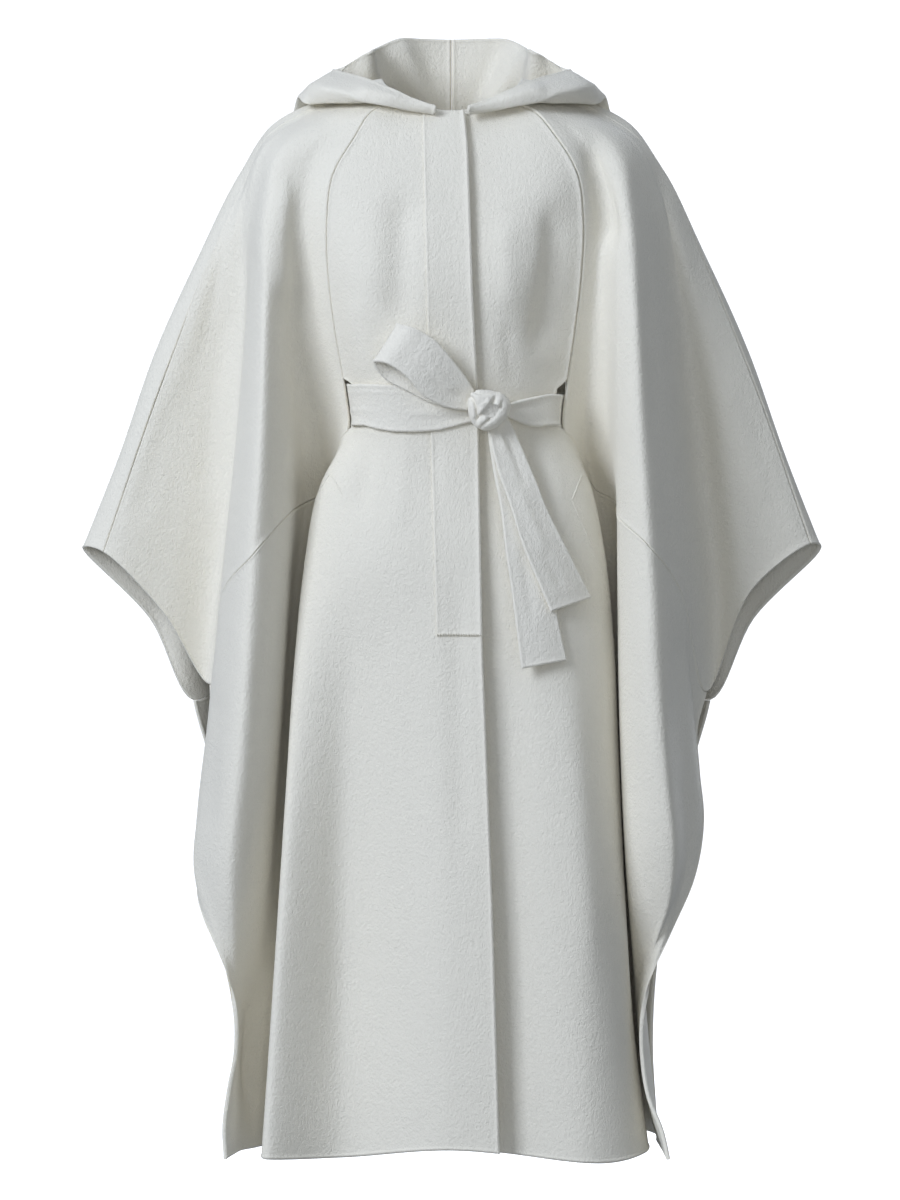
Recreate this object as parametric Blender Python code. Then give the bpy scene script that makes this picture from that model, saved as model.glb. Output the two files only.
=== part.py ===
"""A hooded, belted wool cape coat (burnous), worn-shaped and hollow, in metres.

+Z is up, the wearer faces -Y and the wearer's left side is +X. The origin is the middle of the
neck opening, where the wearer's shoulders hold the garment.

The cloth is one draped skin. Fold lines run down it from the neckline to the hem, and each is a
short table of stations. A smooth section through the fold lines gives every other point, so each
cut panel is a stretch of that skin between two fold lines, moved in by the cloth's thickness.
"""

import math

import bmesh
import bpy
import numpy as np

CLOTH = 0.003
SEAM_GAP = 0.0003
HEM_HEIGHT = -1.128
PLACKET_THICKNESS = 0.0012

# Each station is (out from the centre, depth, height). Depth is negative towards the front.
# "seam" is the number of the station where the sleeve ends: above it lies the sleeve or the bodice,
# below it the skirt. A line without stations below its seam ends at the cuff.

CENTRE_FRONT = {
    "seam": 5,
    "stations": [
        (0.0, -0.072, -0.010),
        (0.0, -0.092, -0.045),
        (0.0, -0.118, -0.110),
        (0.0, -0.135, -0.190),
        (0.0, -0.134, -0.270),
        (0.0, -0.128, -0.357),
        (0.0, -0.150, -0.500),
        (0.0, -0.168, -0.720),
        (0.0, -0.185, -0.930),
        (0.0, -0.200, -1.118),
    ],
}
CREST = {
    "seam": 8,
    "stations": [
        (0.0760, 0.008, 0.031),
        (0.1300, 0.008, 0.015),
        (0.1650, 0.008, 0.004),
        (0.1950, 0.008, -0.013),
        (0.2330, 0.006, -0.068),
        (0.2785, 0.005, -0.159),
        (0.3260, 0.005, -0.264),
        (0.3680, 0.005, -0.385),
        (0.4070, 0.005, -0.483),
    ],
}
BACK_FAN = {
    "seam": 6,
    "stations": [
        (0.0755, 0.020, 0.030),
        (0.1500, 0.030, 0.002),
        (0.2050, 0.040, -0.045),
        (0.2360, 0.046, -0.110),
        (0.2650, 0.046, -0.200),
        (0.3020, 0.042, -0.340),
        (0.3350, 0.032, -0.560),
    ],
}
BACK_EDGE = {
    "seam": 6,
    "stations": [
        (0.0730, 0.032, 0.026),
        (0.1420, 0.048, -0.001),
        (0.1900, 0.064, -0.050),
        (0.2150, 0.074, -0.120),
        (0.2350, 0.072, -0.230),
        (0.2560, 0.060, -0.440),
        (0.2870, 0.032, -0.650),
        (0.2680, 0.032, -0.720),
        (0.2520, 0.040, -0.820),
        (0.2300, 0.052, -0.930),
        (0.2240, 0.064, -1.030),
        (0.2300, 0.075, HEM_HEIGHT),
    ],
}
BACK_RIDGE = {
    "seam": 5,
    "stations": [
        (0.0660, 0.049, 0.019),
        (0.1180, 0.074, -0.006),
        (0.1650, 0.094, -0.062),
        (0.1850, 0.106, -0.150),
        (0.1960, 0.114, -0.320),
        (0.2180, 0.128, -0.560),
        (0.2220, 0.134, -0.720),
        (0.2120, 0.134, -0.900),
        (0.2080, 0.142, HEM_HEIGHT),
    ],
}
BACK_SEAM = {
    "seam": 5,
    "stations": [
        (0.0500, 0.061, 0.012),
        (0.0850, 0.086, -0.010),
        (0.1150, 0.106, -0.062),
        (0.1310, 0.119, -0.140),
        (0.1300, 0.128, -0.260),
        (0.1260, 0.134, -0.400),
        (0.1400, 0.134, -0.560),
        (0.1450, 0.130, -0.780),
        (0.1420, 0.140, HEM_HEIGHT),
    ],
}
BACK_BLADE = {
    "seam": 5,
    "stations": [
        (0.0250, 0.070, 0.008),
        (0.0440, 0.095, -0.016),
        (0.0600, 0.118, -0.064),
        (0.0680, 0.132, -0.140),
        (0.0680, 0.142, -0.260),
        (0.0670, 0.152, -0.400),
        (0.0760, 0.184, -0.600),
        (0.0800, 0.206, -0.820),
        (0.0800, 0.224, HEM_HEIGHT),
    ],
}
CENTRE_BACK = {
    "seam": 5,
    "stations": [
        (0.0, 0.074, 0.006),
        (0.0, 0.099, -0.018),
        (0.0, 0.122, -0.064),
        (0.0, 0.136, -0.140),
        (0.0, 0.145, -0.260),
        (0.0, 0.154, -0.400),
        (0.0, 0.170, -0.600),
        (0.0, 0.182, -0.820),
        (0.0, 0.194, HEM_HEIGHT),
    ],
}

# The folds that hang differently on the wearer's right and left.
RIGHT_FOLDS = {
    "bust": {
        "seam": 5,
        "stations": [
            (0.0420, -0.065, -0.002),
            (0.0580, -0.087, -0.040),
            (0.0740, -0.116, -0.110),
            (0.0850, -0.131, -0.190),
            (0.0800, -0.126, -0.270),
            (0.0700, -0.117, -0.357),
            (0.0900, -0.136, -0.500),
            (0.1000, -0.130, -0.610),
            (0.1080, -0.127, -0.720),
            (0.1120, -0.132, -0.930),
            (0.1160, -0.150, -1.132),
        ],
    },
    "princess": {
        "seam": 8,
        "stations": [
            (0.0550, -0.058, 0.004),
            (0.0860, -0.069, -0.009),
            (0.1060, -0.082, -0.040),
            (0.1290, -0.095, -0.083),
            (0.1345, -0.101, -0.127),
            (0.1345, -0.101, -0.171),
            (0.1265, -0.093, -0.247),
            (0.1160, -0.083, -0.312),
            (0.1130, -0.080, -0.357),
            (0.1380, -0.088, -0.409),
            (0.1560, -0.096, -0.496),
            (0.1660, -0.114, -0.600),
            (0.1740, -0.137, -0.738),
            (0.1825, -0.158, -0.879),
            (0.1915, -0.176, -1.024),
            (0.1980, -0.192, HEM_HEIGHT),
        ],
    },
    "pleat": {
        "seam": 7,
        "stations": [
            (0.0610, -0.050, 0.009),
            (0.1040, -0.064, -0.012),
            (0.1480, -0.080, -0.060),
            (0.1600, -0.088, -0.130),
            (0.1590, -0.080, -0.200),
            (0.1540, -0.062, -0.290),
            (0.1450, -0.038, -0.370),
            (0.1420, -0.022, -0.422),
            (0.1490, -0.022, -0.500),
            (0.1580, -0.030, -0.650),
            (0.1690, -0.044, -0.850),
            (0.1770, -0.060, -1.000),
            (0.1860, -0.078, HEM_HEIGHT),
        ],
    },
    "behind": {
        "seam": 7,
        "stations": [
            (0.0638, -0.045, 0.012),
            (0.1120, -0.060, -0.012),
            (0.1600, -0.079, -0.057),
            (0.1730, -0.090, -0.130),
            (0.1740, -0.084, -0.200),
            (0.1710, -0.068, -0.290),
            (0.1640, -0.044, -0.380),
            (0.1610, -0.032, -0.434),
            (0.1680, -0.036, -0.510),
            (0.1780, -0.046, -0.650),
            (0.1895, -0.058, -0.850),
            (0.1985, -0.074, -1.000),
            (0.2040, -0.090, HEM_HEIGHT),
        ],
    },
    "inner": {
        "seam": 6,
        "stations": [
            (0.0660, -0.040, 0.014),
            (0.1200, -0.056, -0.012),
            (0.1700, -0.077, -0.054),
            (0.1850, -0.098, -0.130),
            (0.1870, -0.108, -0.220),
            (0.1830, -0.108, -0.340),
            (0.1770, -0.098, -0.448),
            (0.1800, -0.100, -0.530),
            (0.1880, -0.104, -0.690),
            (0.1970, -0.106, -0.800),
            (0.2070, -0.104, -0.900),
            (0.2160, -0.096, -0.955),
            (0.2235, -0.090, -1.000),
            (0.2260, -0.086, -1.035),
            (0.2110, -0.100, HEM_HEIGHT),
        ],
    },
    "ridge": {
        "seam": 6,
        "stations": [
            (0.0690, -0.030, 0.018),
            (0.1300, -0.046, -0.010),
            (0.1830, -0.069, -0.049),
            (0.2000, -0.096, -0.120),
            (0.2010, -0.117, -0.210),
            (0.2040, -0.134, -0.350),
            (0.2110, -0.146, -0.490),
            (0.2210, -0.154, -0.650),
            (0.2300, -0.156, -0.760),
            (0.2340, -0.151, -0.830),
            (0.2320, -0.142, -0.875),
            (0.2290, -0.131, -0.910),
            (0.2265, -0.118, -0.955),
            (0.2258, -0.112, -1.000),
            (0.2270, -0.112, -1.035),
            (0.2240, -0.122, HEM_HEIGHT),
        ],
    },
    "slope": {
        "seam": 6,
        "stations": [
            (0.0720, -0.020, 0.022),
            (0.1400, -0.034, -0.008),
            (0.1950, -0.050, -0.045),
            (0.2130, -0.062, -0.110),
            (0.2180, -0.076, -0.200),
            (0.2290, -0.082, -0.340),
            (0.2470, -0.085, -0.530),
            (0.2630, -0.085, -0.669),
            (0.2740, -0.090, -0.770),
            (0.2750, -0.106, -0.825),
            (0.2570, -0.130, -0.872),
            (0.2420, -0.135, -0.910),
            (0.2315, -0.132, -0.955),
            (0.2275, -0.134, -1.000),
            (0.2285, -0.138, -1.035),
            (0.2310, -0.156, HEM_HEIGHT),
        ],
    },
    "edge": {
        "seam": 6,
        "stations": [
            (0.0735, -0.012, 0.025),
            (0.1470, -0.022, -0.006),
            (0.2050, -0.035, -0.043),
            (0.2240, -0.040, -0.110),
            (0.2270, -0.036, -0.200),
            (0.2400, -0.022, -0.380),
            (0.2670, 0.000, -0.632),
            (0.2640, -0.004, -0.700),
            (0.2660, -0.022, -0.770),
            (0.2710, -0.062, -0.822),
            (0.2730, -0.100, -0.858),
            (0.2640, -0.122, -0.884),
            (0.2505, -0.134, -0.912),
            (0.2370, -0.142, -0.945),
            (0.2290, -0.150, -0.978),
            (0.2285, -0.158, -1.022),
            (0.2360, -0.168, -1.062),
            (0.2400, -0.180, -1.095),
            (0.2375, -0.192, HEM_HEIGHT),
        ],
    },
    "fan": {
        "seam": 5,
        "stations": [
            (0.0745, -0.008, 0.027),
            (0.1520, -0.013, -0.004),
            (0.2080, -0.026, -0.044),
            (0.2300, -0.031, -0.105),
            (0.2640, -0.020, -0.240),
            (0.3180, -0.012, -0.552),
        ],
    },
    "overarm": {
        "seam": 6,
        "stations": [
            (0.0755, -0.003, 0.0295),
            (0.1550, -0.006, 0.000),
            (0.2060, -0.013, -0.035),
            (0.2260, -0.018, -0.080),
            (0.2596, -0.020, -0.154),
            (0.3190, -0.020, -0.305),
            (0.3820, -0.020, -0.487),
        ],
    },
}
LEFT_FOLDS = {
    "bust": {
        "seam": 5,
        "stations": [
            (0.0420, -0.065, -0.002),
            (0.0540, -0.088, -0.040),
            (0.0620, -0.119, -0.110),
            (0.0640, -0.135, -0.190),
            (0.0620, -0.129, -0.270),
            (0.0620, -0.118, -0.357),
            (0.0960, -0.143, -0.500),
            (0.1290, -0.160, -0.720),
            (0.1470, -0.178, -0.930),
            (0.1600, -0.196, -1.132),
        ],
    },
    "princess": {
        "seam": 8,
        "stations": [
            (0.0550, -0.058, 0.004),
            (0.0890, -0.069, -0.009),
            (0.1110, -0.082, -0.036),
            (0.1360, -0.093, -0.081),
            (0.1420, -0.093, -0.127),
            (0.1400, -0.087, -0.190),
            (0.1330, -0.080, -0.249),
            (0.1240, -0.077, -0.312),
            (0.1220, -0.078, -0.357),
            (0.1440, -0.084, -0.409),
            (0.1610, -0.086, -0.480),
            (0.1720, -0.088, -0.570),
            (0.1785, -0.094, -0.700),
            (0.1850, -0.110, -0.860),
            (0.1925, -0.124, -0.990),
            (0.2070, -0.142, HEM_HEIGHT),
        ],
    },
    "pleat": {
        "seam": 7,
        "stations": [
            (0.0610, -0.050, 0.009),
            (0.1050, -0.064, -0.012),
            (0.1470, -0.079, -0.055),
            (0.1600, -0.084, -0.110),
            (0.1600, -0.078, -0.190),
            (0.1560, -0.064, -0.280),
            (0.1540, -0.038, -0.370),
            (0.1580, -0.010, -0.418),
            (0.1630, 0.000, -0.500),
            (0.1680, -0.004, -0.650),
            (0.1770, 0.002, -0.850),
            (0.1850, 0.020, -1.000),
            (0.2030, 0.060, HEM_HEIGHT),
        ],
    },
    "behind": {
        "seam": 7,
        "stations": [
            (0.0638, -0.045, 0.012),
            (0.1120, -0.060, -0.012),
            (0.1560, -0.079, -0.053),
            (0.1690, -0.089, -0.112),
            (0.1690, -0.088, -0.195),
            (0.1670, -0.076, -0.285),
            (0.1700, -0.052, -0.378),
            (0.1780, -0.026, -0.430),
            (0.1820, -0.018, -0.510),
            (0.1860, -0.022, -0.660),
            (0.1960, -0.018, -0.850),
            (0.2100, -0.004, -1.000),
            (0.2240, 0.010, HEM_HEIGHT),
        ],
    },
    "inner": {
        "seam": 6,
        "stations": [
            (0.0660, -0.040, 0.014),
            (0.1200, -0.056, -0.012),
            (0.1650, -0.076, -0.050),
            (0.1780, -0.096, -0.120),
            (0.1790, -0.108, -0.210),
            (0.1790, -0.112, -0.330),
            (0.1800, -0.108, -0.452),
            (0.1805, -0.112, -0.560),
            (0.1835, -0.118, -0.700),
            (0.1895, -0.122, -0.820),
            (0.1925, -0.112, -0.870),
            (0.1945, -0.098, -0.905),
            (0.1965, -0.084, -0.940),
            (0.1992, -0.070, -0.980),
            (0.2035, -0.060, -1.030),
            (0.2095, -0.056, -1.070),
            (0.2235, -0.055, HEM_HEIGHT),
        ],
    },
    "ridge": {
        "seam": 6,
        "stations": [
            (0.0690, -0.030, 0.018),
            (0.1300, -0.046, -0.010),
            (0.1770, -0.069, -0.045),
            (0.1910, -0.098, -0.120),
            (0.1960, -0.120, -0.210),
            (0.2010, -0.136, -0.340),
            (0.2100, -0.147, -0.482),
            (0.2180, -0.155, -0.620),
            (0.2270, -0.158, -0.730),
            (0.2340, -0.151, -0.810),
            (0.2290, -0.137, -0.865),
            (0.2150, -0.119, -0.905),
            (0.2025, -0.103, -0.940),
            (0.1995, -0.091, -0.980),
            (0.2030, -0.088, -1.030),
            (0.2085, -0.092, -1.070),
            (0.2250, -0.105, HEM_HEIGHT),
        ],
    },
    "slope": {
        "seam": 6,
        "stations": [
            (0.0720, -0.020, 0.022),
            (0.1400, -0.034, -0.008),
            (0.1950, -0.051, -0.045),
            (0.2080, -0.070, -0.110),
            (0.2180, -0.086, -0.210),
            (0.2310, -0.094, -0.350),
            (0.2470, -0.088, -0.530),
            (0.2530, -0.085, -0.640),
            (0.2500, -0.093, -0.750),
            (0.2480, -0.107, -0.825),
            (0.2360, -0.119, -0.868),
            (0.2200, -0.121, -0.905),
            (0.2075, -0.119, -0.940),
            (0.2007, -0.119, -0.980),
            (0.2022, -0.121, -1.030),
            (0.2082, -0.130, -1.070),
            (0.2260, -0.152, HEM_HEIGHT),
        ],
    },
    "edge": {
        "seam": 6,
        "stations": [
            (0.0735, -0.012, 0.025),
            (0.1470, -0.022, -0.006),
            (0.2050, -0.035, -0.043),
            (0.2260, -0.038, -0.100),
            (0.2450, -0.030, -0.200),
            (0.2720, -0.010, -0.400),
            (0.2810, 0.000, -0.640),
            (0.2700, -0.002, -0.683),
            (0.2710, -0.020, -0.728),
            (0.2740, -0.050, -0.780),
            (0.2620, -0.086, -0.840),
            (0.2340, -0.114, -0.898),
            (0.2120, -0.132, -0.944),
            (0.2025, -0.142, -0.978),
            (0.2015, -0.152, -1.030),
            (0.2080, -0.164, -1.069),
            (0.2210, -0.180, -1.101),
            (0.2265, -0.198, HEM_HEIGHT),
        ],
    },
    "fan": {
        "seam": 5,
        "stations": [
            (0.0745, -0.008, 0.027),
            (0.1520, -0.013, -0.004),
            (0.2080, -0.026, -0.044),
            (0.2340, -0.030, -0.105),
            (0.2810, -0.026, -0.240),
            (0.3280, -0.014, -0.530),
        ],
    },
    "overarm": {
        "seam": 6,
        "stations": [
            (0.0755, -0.003, 0.0295),
            (0.1550, -0.006, 0.000),
            (0.2070, -0.012, -0.035),
            (0.2340, -0.014, -0.072),
            (0.2700, -0.014, -0.152),
            (0.3330, -0.014, -0.305),
            (0.3940, -0.012, -0.478),
        ],
    },
}

FOLD_ORDER = ("bust", "princess", "pleat", "behind", "inner", "ridge", "slope", "edge", "fan", "overarm")

# Numbers of the fold lines, counted round from the centre front (0) to the centre back (17).
# The wearer's right side counts down from 0 and the left side counts up.
PRINCESS, EDGE, OVERARM, BACK_FREE, BACK_PANEL, BACK_MIDDLE = 2, 8, 10, 13, 15, 17

# Columns of faces between each fold line and the next, and the falls of the rows. The last rows
# of the bodice stand at the ends of the belt's slot.
STEPS = (3, 3, 4, 2, 3, 3, 3, 3, 2, 2, 2, 2, 2, 2, 3, 3, 3)
UPPER_ROWS = np.array([0, 0.05, 0.12, 0.19, 0.26, 0.33, 0.41, 0.5, 0.59, 0.68, 0.77])
UPPER_ROWS = np.append(UPPER_ROWS, [0.85, 0.866, 0.93, 0.994, 1])
LOWER_ROWS = 1 + np.array([0.05, 0.11, 0.17, 0.225, 0.288, 0.37, 0.455, 0.54, 0.625, 0.71])
LOWER_ROWS = np.append(LOWER_ROWS, [1.795, 1.88, 1.945, 2])

# The edge of the right front, which laps over the left one, as (height, x).
CLOSURE_EDGE = [
    (0.000, 0.0130),
    (-0.050, 0.0175),
    (-0.210, 0.0225),
    (-0.320, 0.0280),
    (-0.580, 0.0325),
    (-0.860, 0.0430),
    (-1.130, 0.0505),
]
# The left front runs on to UNDERLAP_X behind the right one, set back as (height, distance).
UNDERLAP_X = -0.030
UNDERLAP_DROP = [
    (0.0, 0.005),
    (-0.10, 0.009),
    (-0.28, 0.008),
    (-0.34, 0.006),
    (-0.60, 0.016),
    (-1.13, 0.025),
]
UNDERLAP_FADE = 0.090

# The placket's inner edge, as (height, x).
PLACKET_INNER_EDGE = [(0.000, -0.0320), (-0.240, -0.0262), (-0.576, -0.0162), (-2.0, -0.0162)]
PLACKET_BOTTOM_FALL = 1.288

SLOT_TOP, SLOT_BOTTOM, SLOT_OPENING = -0.300, -0.3562, 0.0125

# The hood lies down behind the neck. At each place round the neck: how far it lies along the
# shoulder or back before it rolls over, the height of the roll, and three points of the part that
# stands up behind the roll, the last on its free edge, as (out, depth, height).
HOOD_START = 0.40
HOOD_LAY_SHARES = np.array([0, 0.08, 0.22, 0.42, 0.70, 1.0])
HOOD_RISE_ROWS = 8
HOOD_PROFILES = {
    0.40: (0.005, 0.005, (0.0165, -0.0850, -0.0115), (0.0168, -0.0865, -0.0085), (0.0172, -0.085, -0.005)),
    1.0: (0.009, 0.008, (0.0450, -0.0800, -0.0095), (0.0425, -0.0830, -0.0030), (0.0385, -0.079, 0.003)),
    2.0: (0.017, 0.010, (0.0715, -0.0800, -0.0050), (0.0670, -0.0825, 0.0040), (0.0570, -0.074, 0.012)),
    3.0: (0.029, 0.012, (0.0950, -0.0740, 0.0000), (0.0900, -0.0760, 0.0100), (0.0760, -0.063, 0.021)),
    5.0: (0.043, 0.015, (0.1160, -0.0640, 0.0100), (0.1060, -0.0560, 0.0200), (0.0930, -0.042, 0.030)),
    7.0: (0.061, 0.018, (0.1390, -0.0450, 0.0170), (0.1280, -0.0340, 0.0280), (0.1120, -0.018, 0.038)),
    9.0: (0.075, 0.020, (0.1560, -0.0160, 0.0240), (0.1440, -0.0070, 0.0350), (0.1290, 0.008, 0.046)),
    10.0: (0.080, 0.021, (0.1590, -0.0020, 0.0260), (0.1460, 0.0120, 0.0350), (0.1290, 0.022, 0.047)),
    11.0: (0.084, 0.022, (0.1600, 0.0160, 0.0260), (0.1400, 0.0280, 0.0360), (0.1200, 0.032, 0.052)),
    12.0: (0.092, 0.026, (0.1580, 0.0520, 0.0200), (0.1160, 0.0380, 0.0360), (0.1030, 0.031, 0.062)),
    13.0: (0.102, 0.030, (0.1440, 0.0930, 0.0060), (0.0870, 0.0420, 0.0370), (0.0885, 0.026, 0.070)),
    14.0: (0.118, 0.036, (0.1250, 0.1420, -0.0160), (0.0820, 0.1020, 0.0300), (0.0900, 0.094, 0.079)),
    15.0: (0.142, 0.042, (0.0920, 0.1740, -0.0480), (0.0600, 0.1260, 0.0280), (0.0630, 0.124, 0.095)),
    16.0: (0.166, 0.048, (0.0500, 0.1960, -0.0760), (0.0320, 0.1380, 0.0240), (0.0310, 0.138, 0.097)),
    17.0: (0.176, 0.050, (0.0000, 0.2020, -0.0860), (0.0000, 0.1420, 0.0220), (0.0000, 0.142, 0.0965)),
}

# The belt on the front, as (x, top, bottom) from under the knot to the slot, and then its way in
# through the slot, as (distance past the seam, stand-off from the cloth's outer face).
BELT_HEIGHT, BELT_WIDTH, BELT_THICKNESS, BELT_STAND_OFF = -0.331, 0.046, 0.0028, 0.0042
BELT_STRETCHES = {
    -1: [
        (0.0300, -0.3290, -0.3500),
        (0.0170, -0.3300, -0.3495),
        (0.0020, -0.3260, -0.3540),
        (-0.0130, -0.3207, -0.3580),
        (-0.0300, -0.3140, -0.3592),
        (-0.0480, -0.3100, -0.3597),
        (-0.0640, -0.3080, -0.3590),
        (-0.0800, -0.3070, -0.3560),
        (-0.0920, -0.3060, -0.3520),
    ],
    1: [
        (0.0450, -0.3290, -0.3430),
        (0.0570, -0.3290, -0.3430),
        (0.0710, -0.3239, -0.3496),
        (0.0830, -0.3210, -0.3535),
        (0.0930, -0.3185, -0.3540),
        (0.1000, -0.3170, -0.3520),
    ],
}
SLOT_PASSAGE = [(-0.0150, 0.0056), (-0.0060, -0.0016), (0.0025, -0.0080), (0.0120, -0.0084)]
BELT_AROUND_BACK = [
    (-0.134, 0.000),
    (-0.118, 0.060),
    (-0.070, 0.104),
    (0.000, 0.120),
    (0.070, 0.104),
    (0.118, 0.060),
    (0.134, 0.000),
]

# Bands on the front: x and height of one edge, stand-off, x and height of the other edge.
BELT_LOOP = [
    (0.0234, -0.3149, 0.0104, 0.0159, -0.3362),
    (0.0149, -0.3001, 0.0150, -0.0021, -0.3340),
    (-0.0021, -0.2788, 0.0220, -0.0255, -0.3224),
    (-0.0255, -0.2565, 0.0260, -0.0499, -0.2947),
    (-0.0467, -0.2459, 0.0230, -0.0701, -0.2831),
    (-0.0552, -0.2438, 0.0165, -0.0775, -0.2841),
    (-0.0510, -0.2491, 0.0100, -0.0733, -0.2958),
    (-0.0287, -0.2650, 0.0078, -0.0435, -0.3170),
    (-0.0021, -0.2862, 0.0074, -0.0127, -0.3319),
    (0.0191, -0.3138, 0.0072, 0.0159, -0.3372),
]
TAIL_UPPER = [
    (0.0370, -0.3490, 0.0106, 0.0530, -0.3370),
    (0.0385, -0.3640, 0.0108, 0.0590, -0.3500),
    (0.0457, -0.4012, 0.0130, 0.0733, -0.3853),
    (0.0595, -0.4415, 0.0130, 0.0860, -0.4161),
    (0.0722, -0.4807, 0.0110, 0.0966, -0.4435),
    (0.0881, -0.5189, 0.0090, 0.1200, -0.4903),
    (0.1020, -0.5528, 0.0085, 0.1434, -0.5379),
]
TAIL_LOWER = [
    (0.0350, -0.3440, 0.0074, 0.0500, -0.3370),
    (0.0372, -0.3629, 0.0074, 0.0530, -0.3534),
    (0.0425, -0.4012, 0.0078, 0.0669, -0.3906),
    (0.0510, -0.4436, 0.0066, 0.0881, -0.4330),
    (0.0563, -0.4861, 0.0050, 0.0988, -0.4808),
    (0.0627, -0.5285, 0.0042, 0.1052, -0.5232),
    (0.0680, -0.5709, 0.0042, 0.1116, -0.5646),
    (0.0733, -0.6123, 0.0042, 0.1201, -0.6038),
]

# The knot: its centre on the front (x, height), its outline as (degrees, radius), and its rings as
# (stand-off, share of the outline).
KNOT_CENTRE, KNOT_SIDES = (0.0360, -0.3350), 16
KNOT_OUTLINE = [
    (0, 0.019),
    (20, 0.021),
    (45, 0.0225),
    (100, 0.0225),
    (125, 0.025),
    (160, 0.021),
    (200, 0.020),
]
KNOT_OUTLINE += [(230, 0.0225), (260, 0.0245), (285, 0.022), (320, 0.018)]
KNOT_RINGS = [(0.0130, 0.84), (0.0145, 0.95), (0.0175, 1.0), (0.0215, 1.0), (0.0255, 0.92), (0.0290, 0.72)]
KNOT_RINGS += [(0.0305, 0.40)]

WOOL_COLOUR = (0.80, 0.79, 0.74, 1)


def spline_slopes(points, knots):
    """Slopes of a smooth curve through points[i] at knots[i]."""
    steps = np.diff(knots)[:, None]
    chords = np.diff(points, axis=0) / steps
    inner = (chords[:-1] * steps[1:] + chords[1:] * steps[:-1]) / (steps[:-1] + steps[1:])
    return np.vstack([chords[:1], inner, chords[-1:]])


def hermite(p, q, p_slope, q_slope, t):
    """A point between p (t = 0) and q (t = 1) on the curve that leaves them with these slopes."""
    return (
        (2 * t**3 - 3 * t**2 + 1) * p
        + (t**3 - 2 * t**2 + t) * p_slope
        + (3 * t**2 - 2 * t**3) * q
        + (t**3 - t**2) * q_slope
    )


def spline(points, knots, at):
    """Points of the smooth curve through points[i] at knots[i], read at the values in at."""
    points, knots, at = (np.asarray(a, float) for a in (points, knots, at))
    slopes = spline_slopes(points, knots)
    i = np.clip(np.searchsorted(knots, at, side="right") - 1, 0, len(knots) - 2)
    length = (knots[i + 1] - knots[i])[..., None]
    t = ((at - knots[i]) / (knots[i + 1] - knots[i]))[..., None]
    return hermite(points[i], points[i + 1], slopes[i] * length, slopes[i + 1] * length, t)


def path_lengths(points):
    """Length along a row of points, from its first point to each of its points."""
    return np.concatenate([[0], np.cumsum(np.linalg.norm(np.diff(points, axis=0), axis=1))])


def table_value(table, height):
    """Reads a table of (height, value), straight between its rows."""
    heights, values = np.array(sorted(table)).T
    return np.interp(height, heights, values)


def fold_lines(side):
    """The fold lines of one side, from the centre front to the centre back."""
    folds = LEFT_FOLDS if side > 0 else RIGHT_FOLDS
    return [
        CENTRE_FRONT,
        *(folds[name] for name in FOLD_ORDER),
        CREST,
        BACK_FAN,
        BACK_EDGE,
        BACK_RIDGE,
        BACK_SEAM,
        BACK_BLADE,
        CENTRE_BACK,
    ]


FOLD_LINES = {side: fold_lines(side) for side in (-1, 1)}


def line_points(side, place, fall):
    """Points of a fold line. fall is 0 at the neckline, 1 at the sleeve's end and 2 at the hem."""
    line = FOLD_LINES[side][place]
    stations = np.array(line["stations"]) * (side, 1, 1)
    along, seam = path_lengths(stations), line["seam"]
    along[seam:] = along[seam] + stations[seam, 2] - stations[seam:, 2]
    at_seam, at_end = along[seam], along[-1]
    at = np.where(fall <= 1, fall * at_seam, at_seam + (fall - 1) * (at_end - at_seam))
    return spline(stations, along, at)


def ring_points(number, fall):
    """Points of the fold line with this number, counted round the ring past the centre back.

    Below the sleeve the lines of the arm have no cloth: there the ring goes on past the free edge.
    """
    around = (number + BACK_MIDDLE) % (2 * BACK_MIDDLE) - BACK_MIDDLE
    side, place = (1, around) if around >= 0 else (-1, -around)
    if not EDGE < place < BACK_FREE:
        return line_points(side, place, fall)
    sleeve_fall = np.minimum(fall, 1)
    above = line_points(side, place, sleeve_fall)
    free, neighbour = (EDGE, EDGE - 1) if place <= OVERARM else (BACK_FREE, BACK_FREE + 1)
    step = above - line_points(side, free, sleeve_fall)
    edge = line_points(side, free, fall)
    onward = edge - line_points(side, neighbour, fall)
    share = np.clip((fall - 1) / 0.15, 0, 1)[:, None]
    return np.where(fall[:, None] <= 1, above, edge + step * (1 - share) + onward * share)


def skin(around, fall):
    """Points on the cloth's outer face. around counts fold lines and may lie between them."""
    around, fall = np.broadcast_arrays(np.asarray(around, float), np.asarray(fall, float))
    points = np.zeros(around.shape + (3,))
    base = np.floor(around + 1e-9).astype(int)
    for number in np.unique(base):
        chosen = base == number
        a, p, q, b = (ring_points(number + shift, fall[chosen]) for shift in (-1, 0, 1, 2))
        ap, pq, qb = (
            np.sqrt(np.maximum(np.linalg.norm(end - start, axis=1), 1e-5))[:, None]
            for start, end in ((a, p), (p, q), (q, b))
        )
        p_slope = (p - a) / ap - (q - a) / (ap + pq) + (q - p) / pq
        q_slope = (q - p) / pq - (b - p) / (pq + qb) + (b - q) / qb
        t = (around[chosen] - number)[:, None]
        points[chosen] = hermite(p, q, p_slope * pq, q_slope * pq, t)
    return points


def skin_normals(around, fall):
    """Unit normals of the skin, pointing out of the garment."""
    step = 0.02
    across = skin(around + step, fall) - skin(around - step, fall)
    down = skin(around, np.minimum(fall + step, 2)) - skin(around, np.maximum(fall - step, 0))
    normals = np.cross(down, across)
    return normals / np.linalg.norm(normals, axis=-1, keepdims=True)


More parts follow.
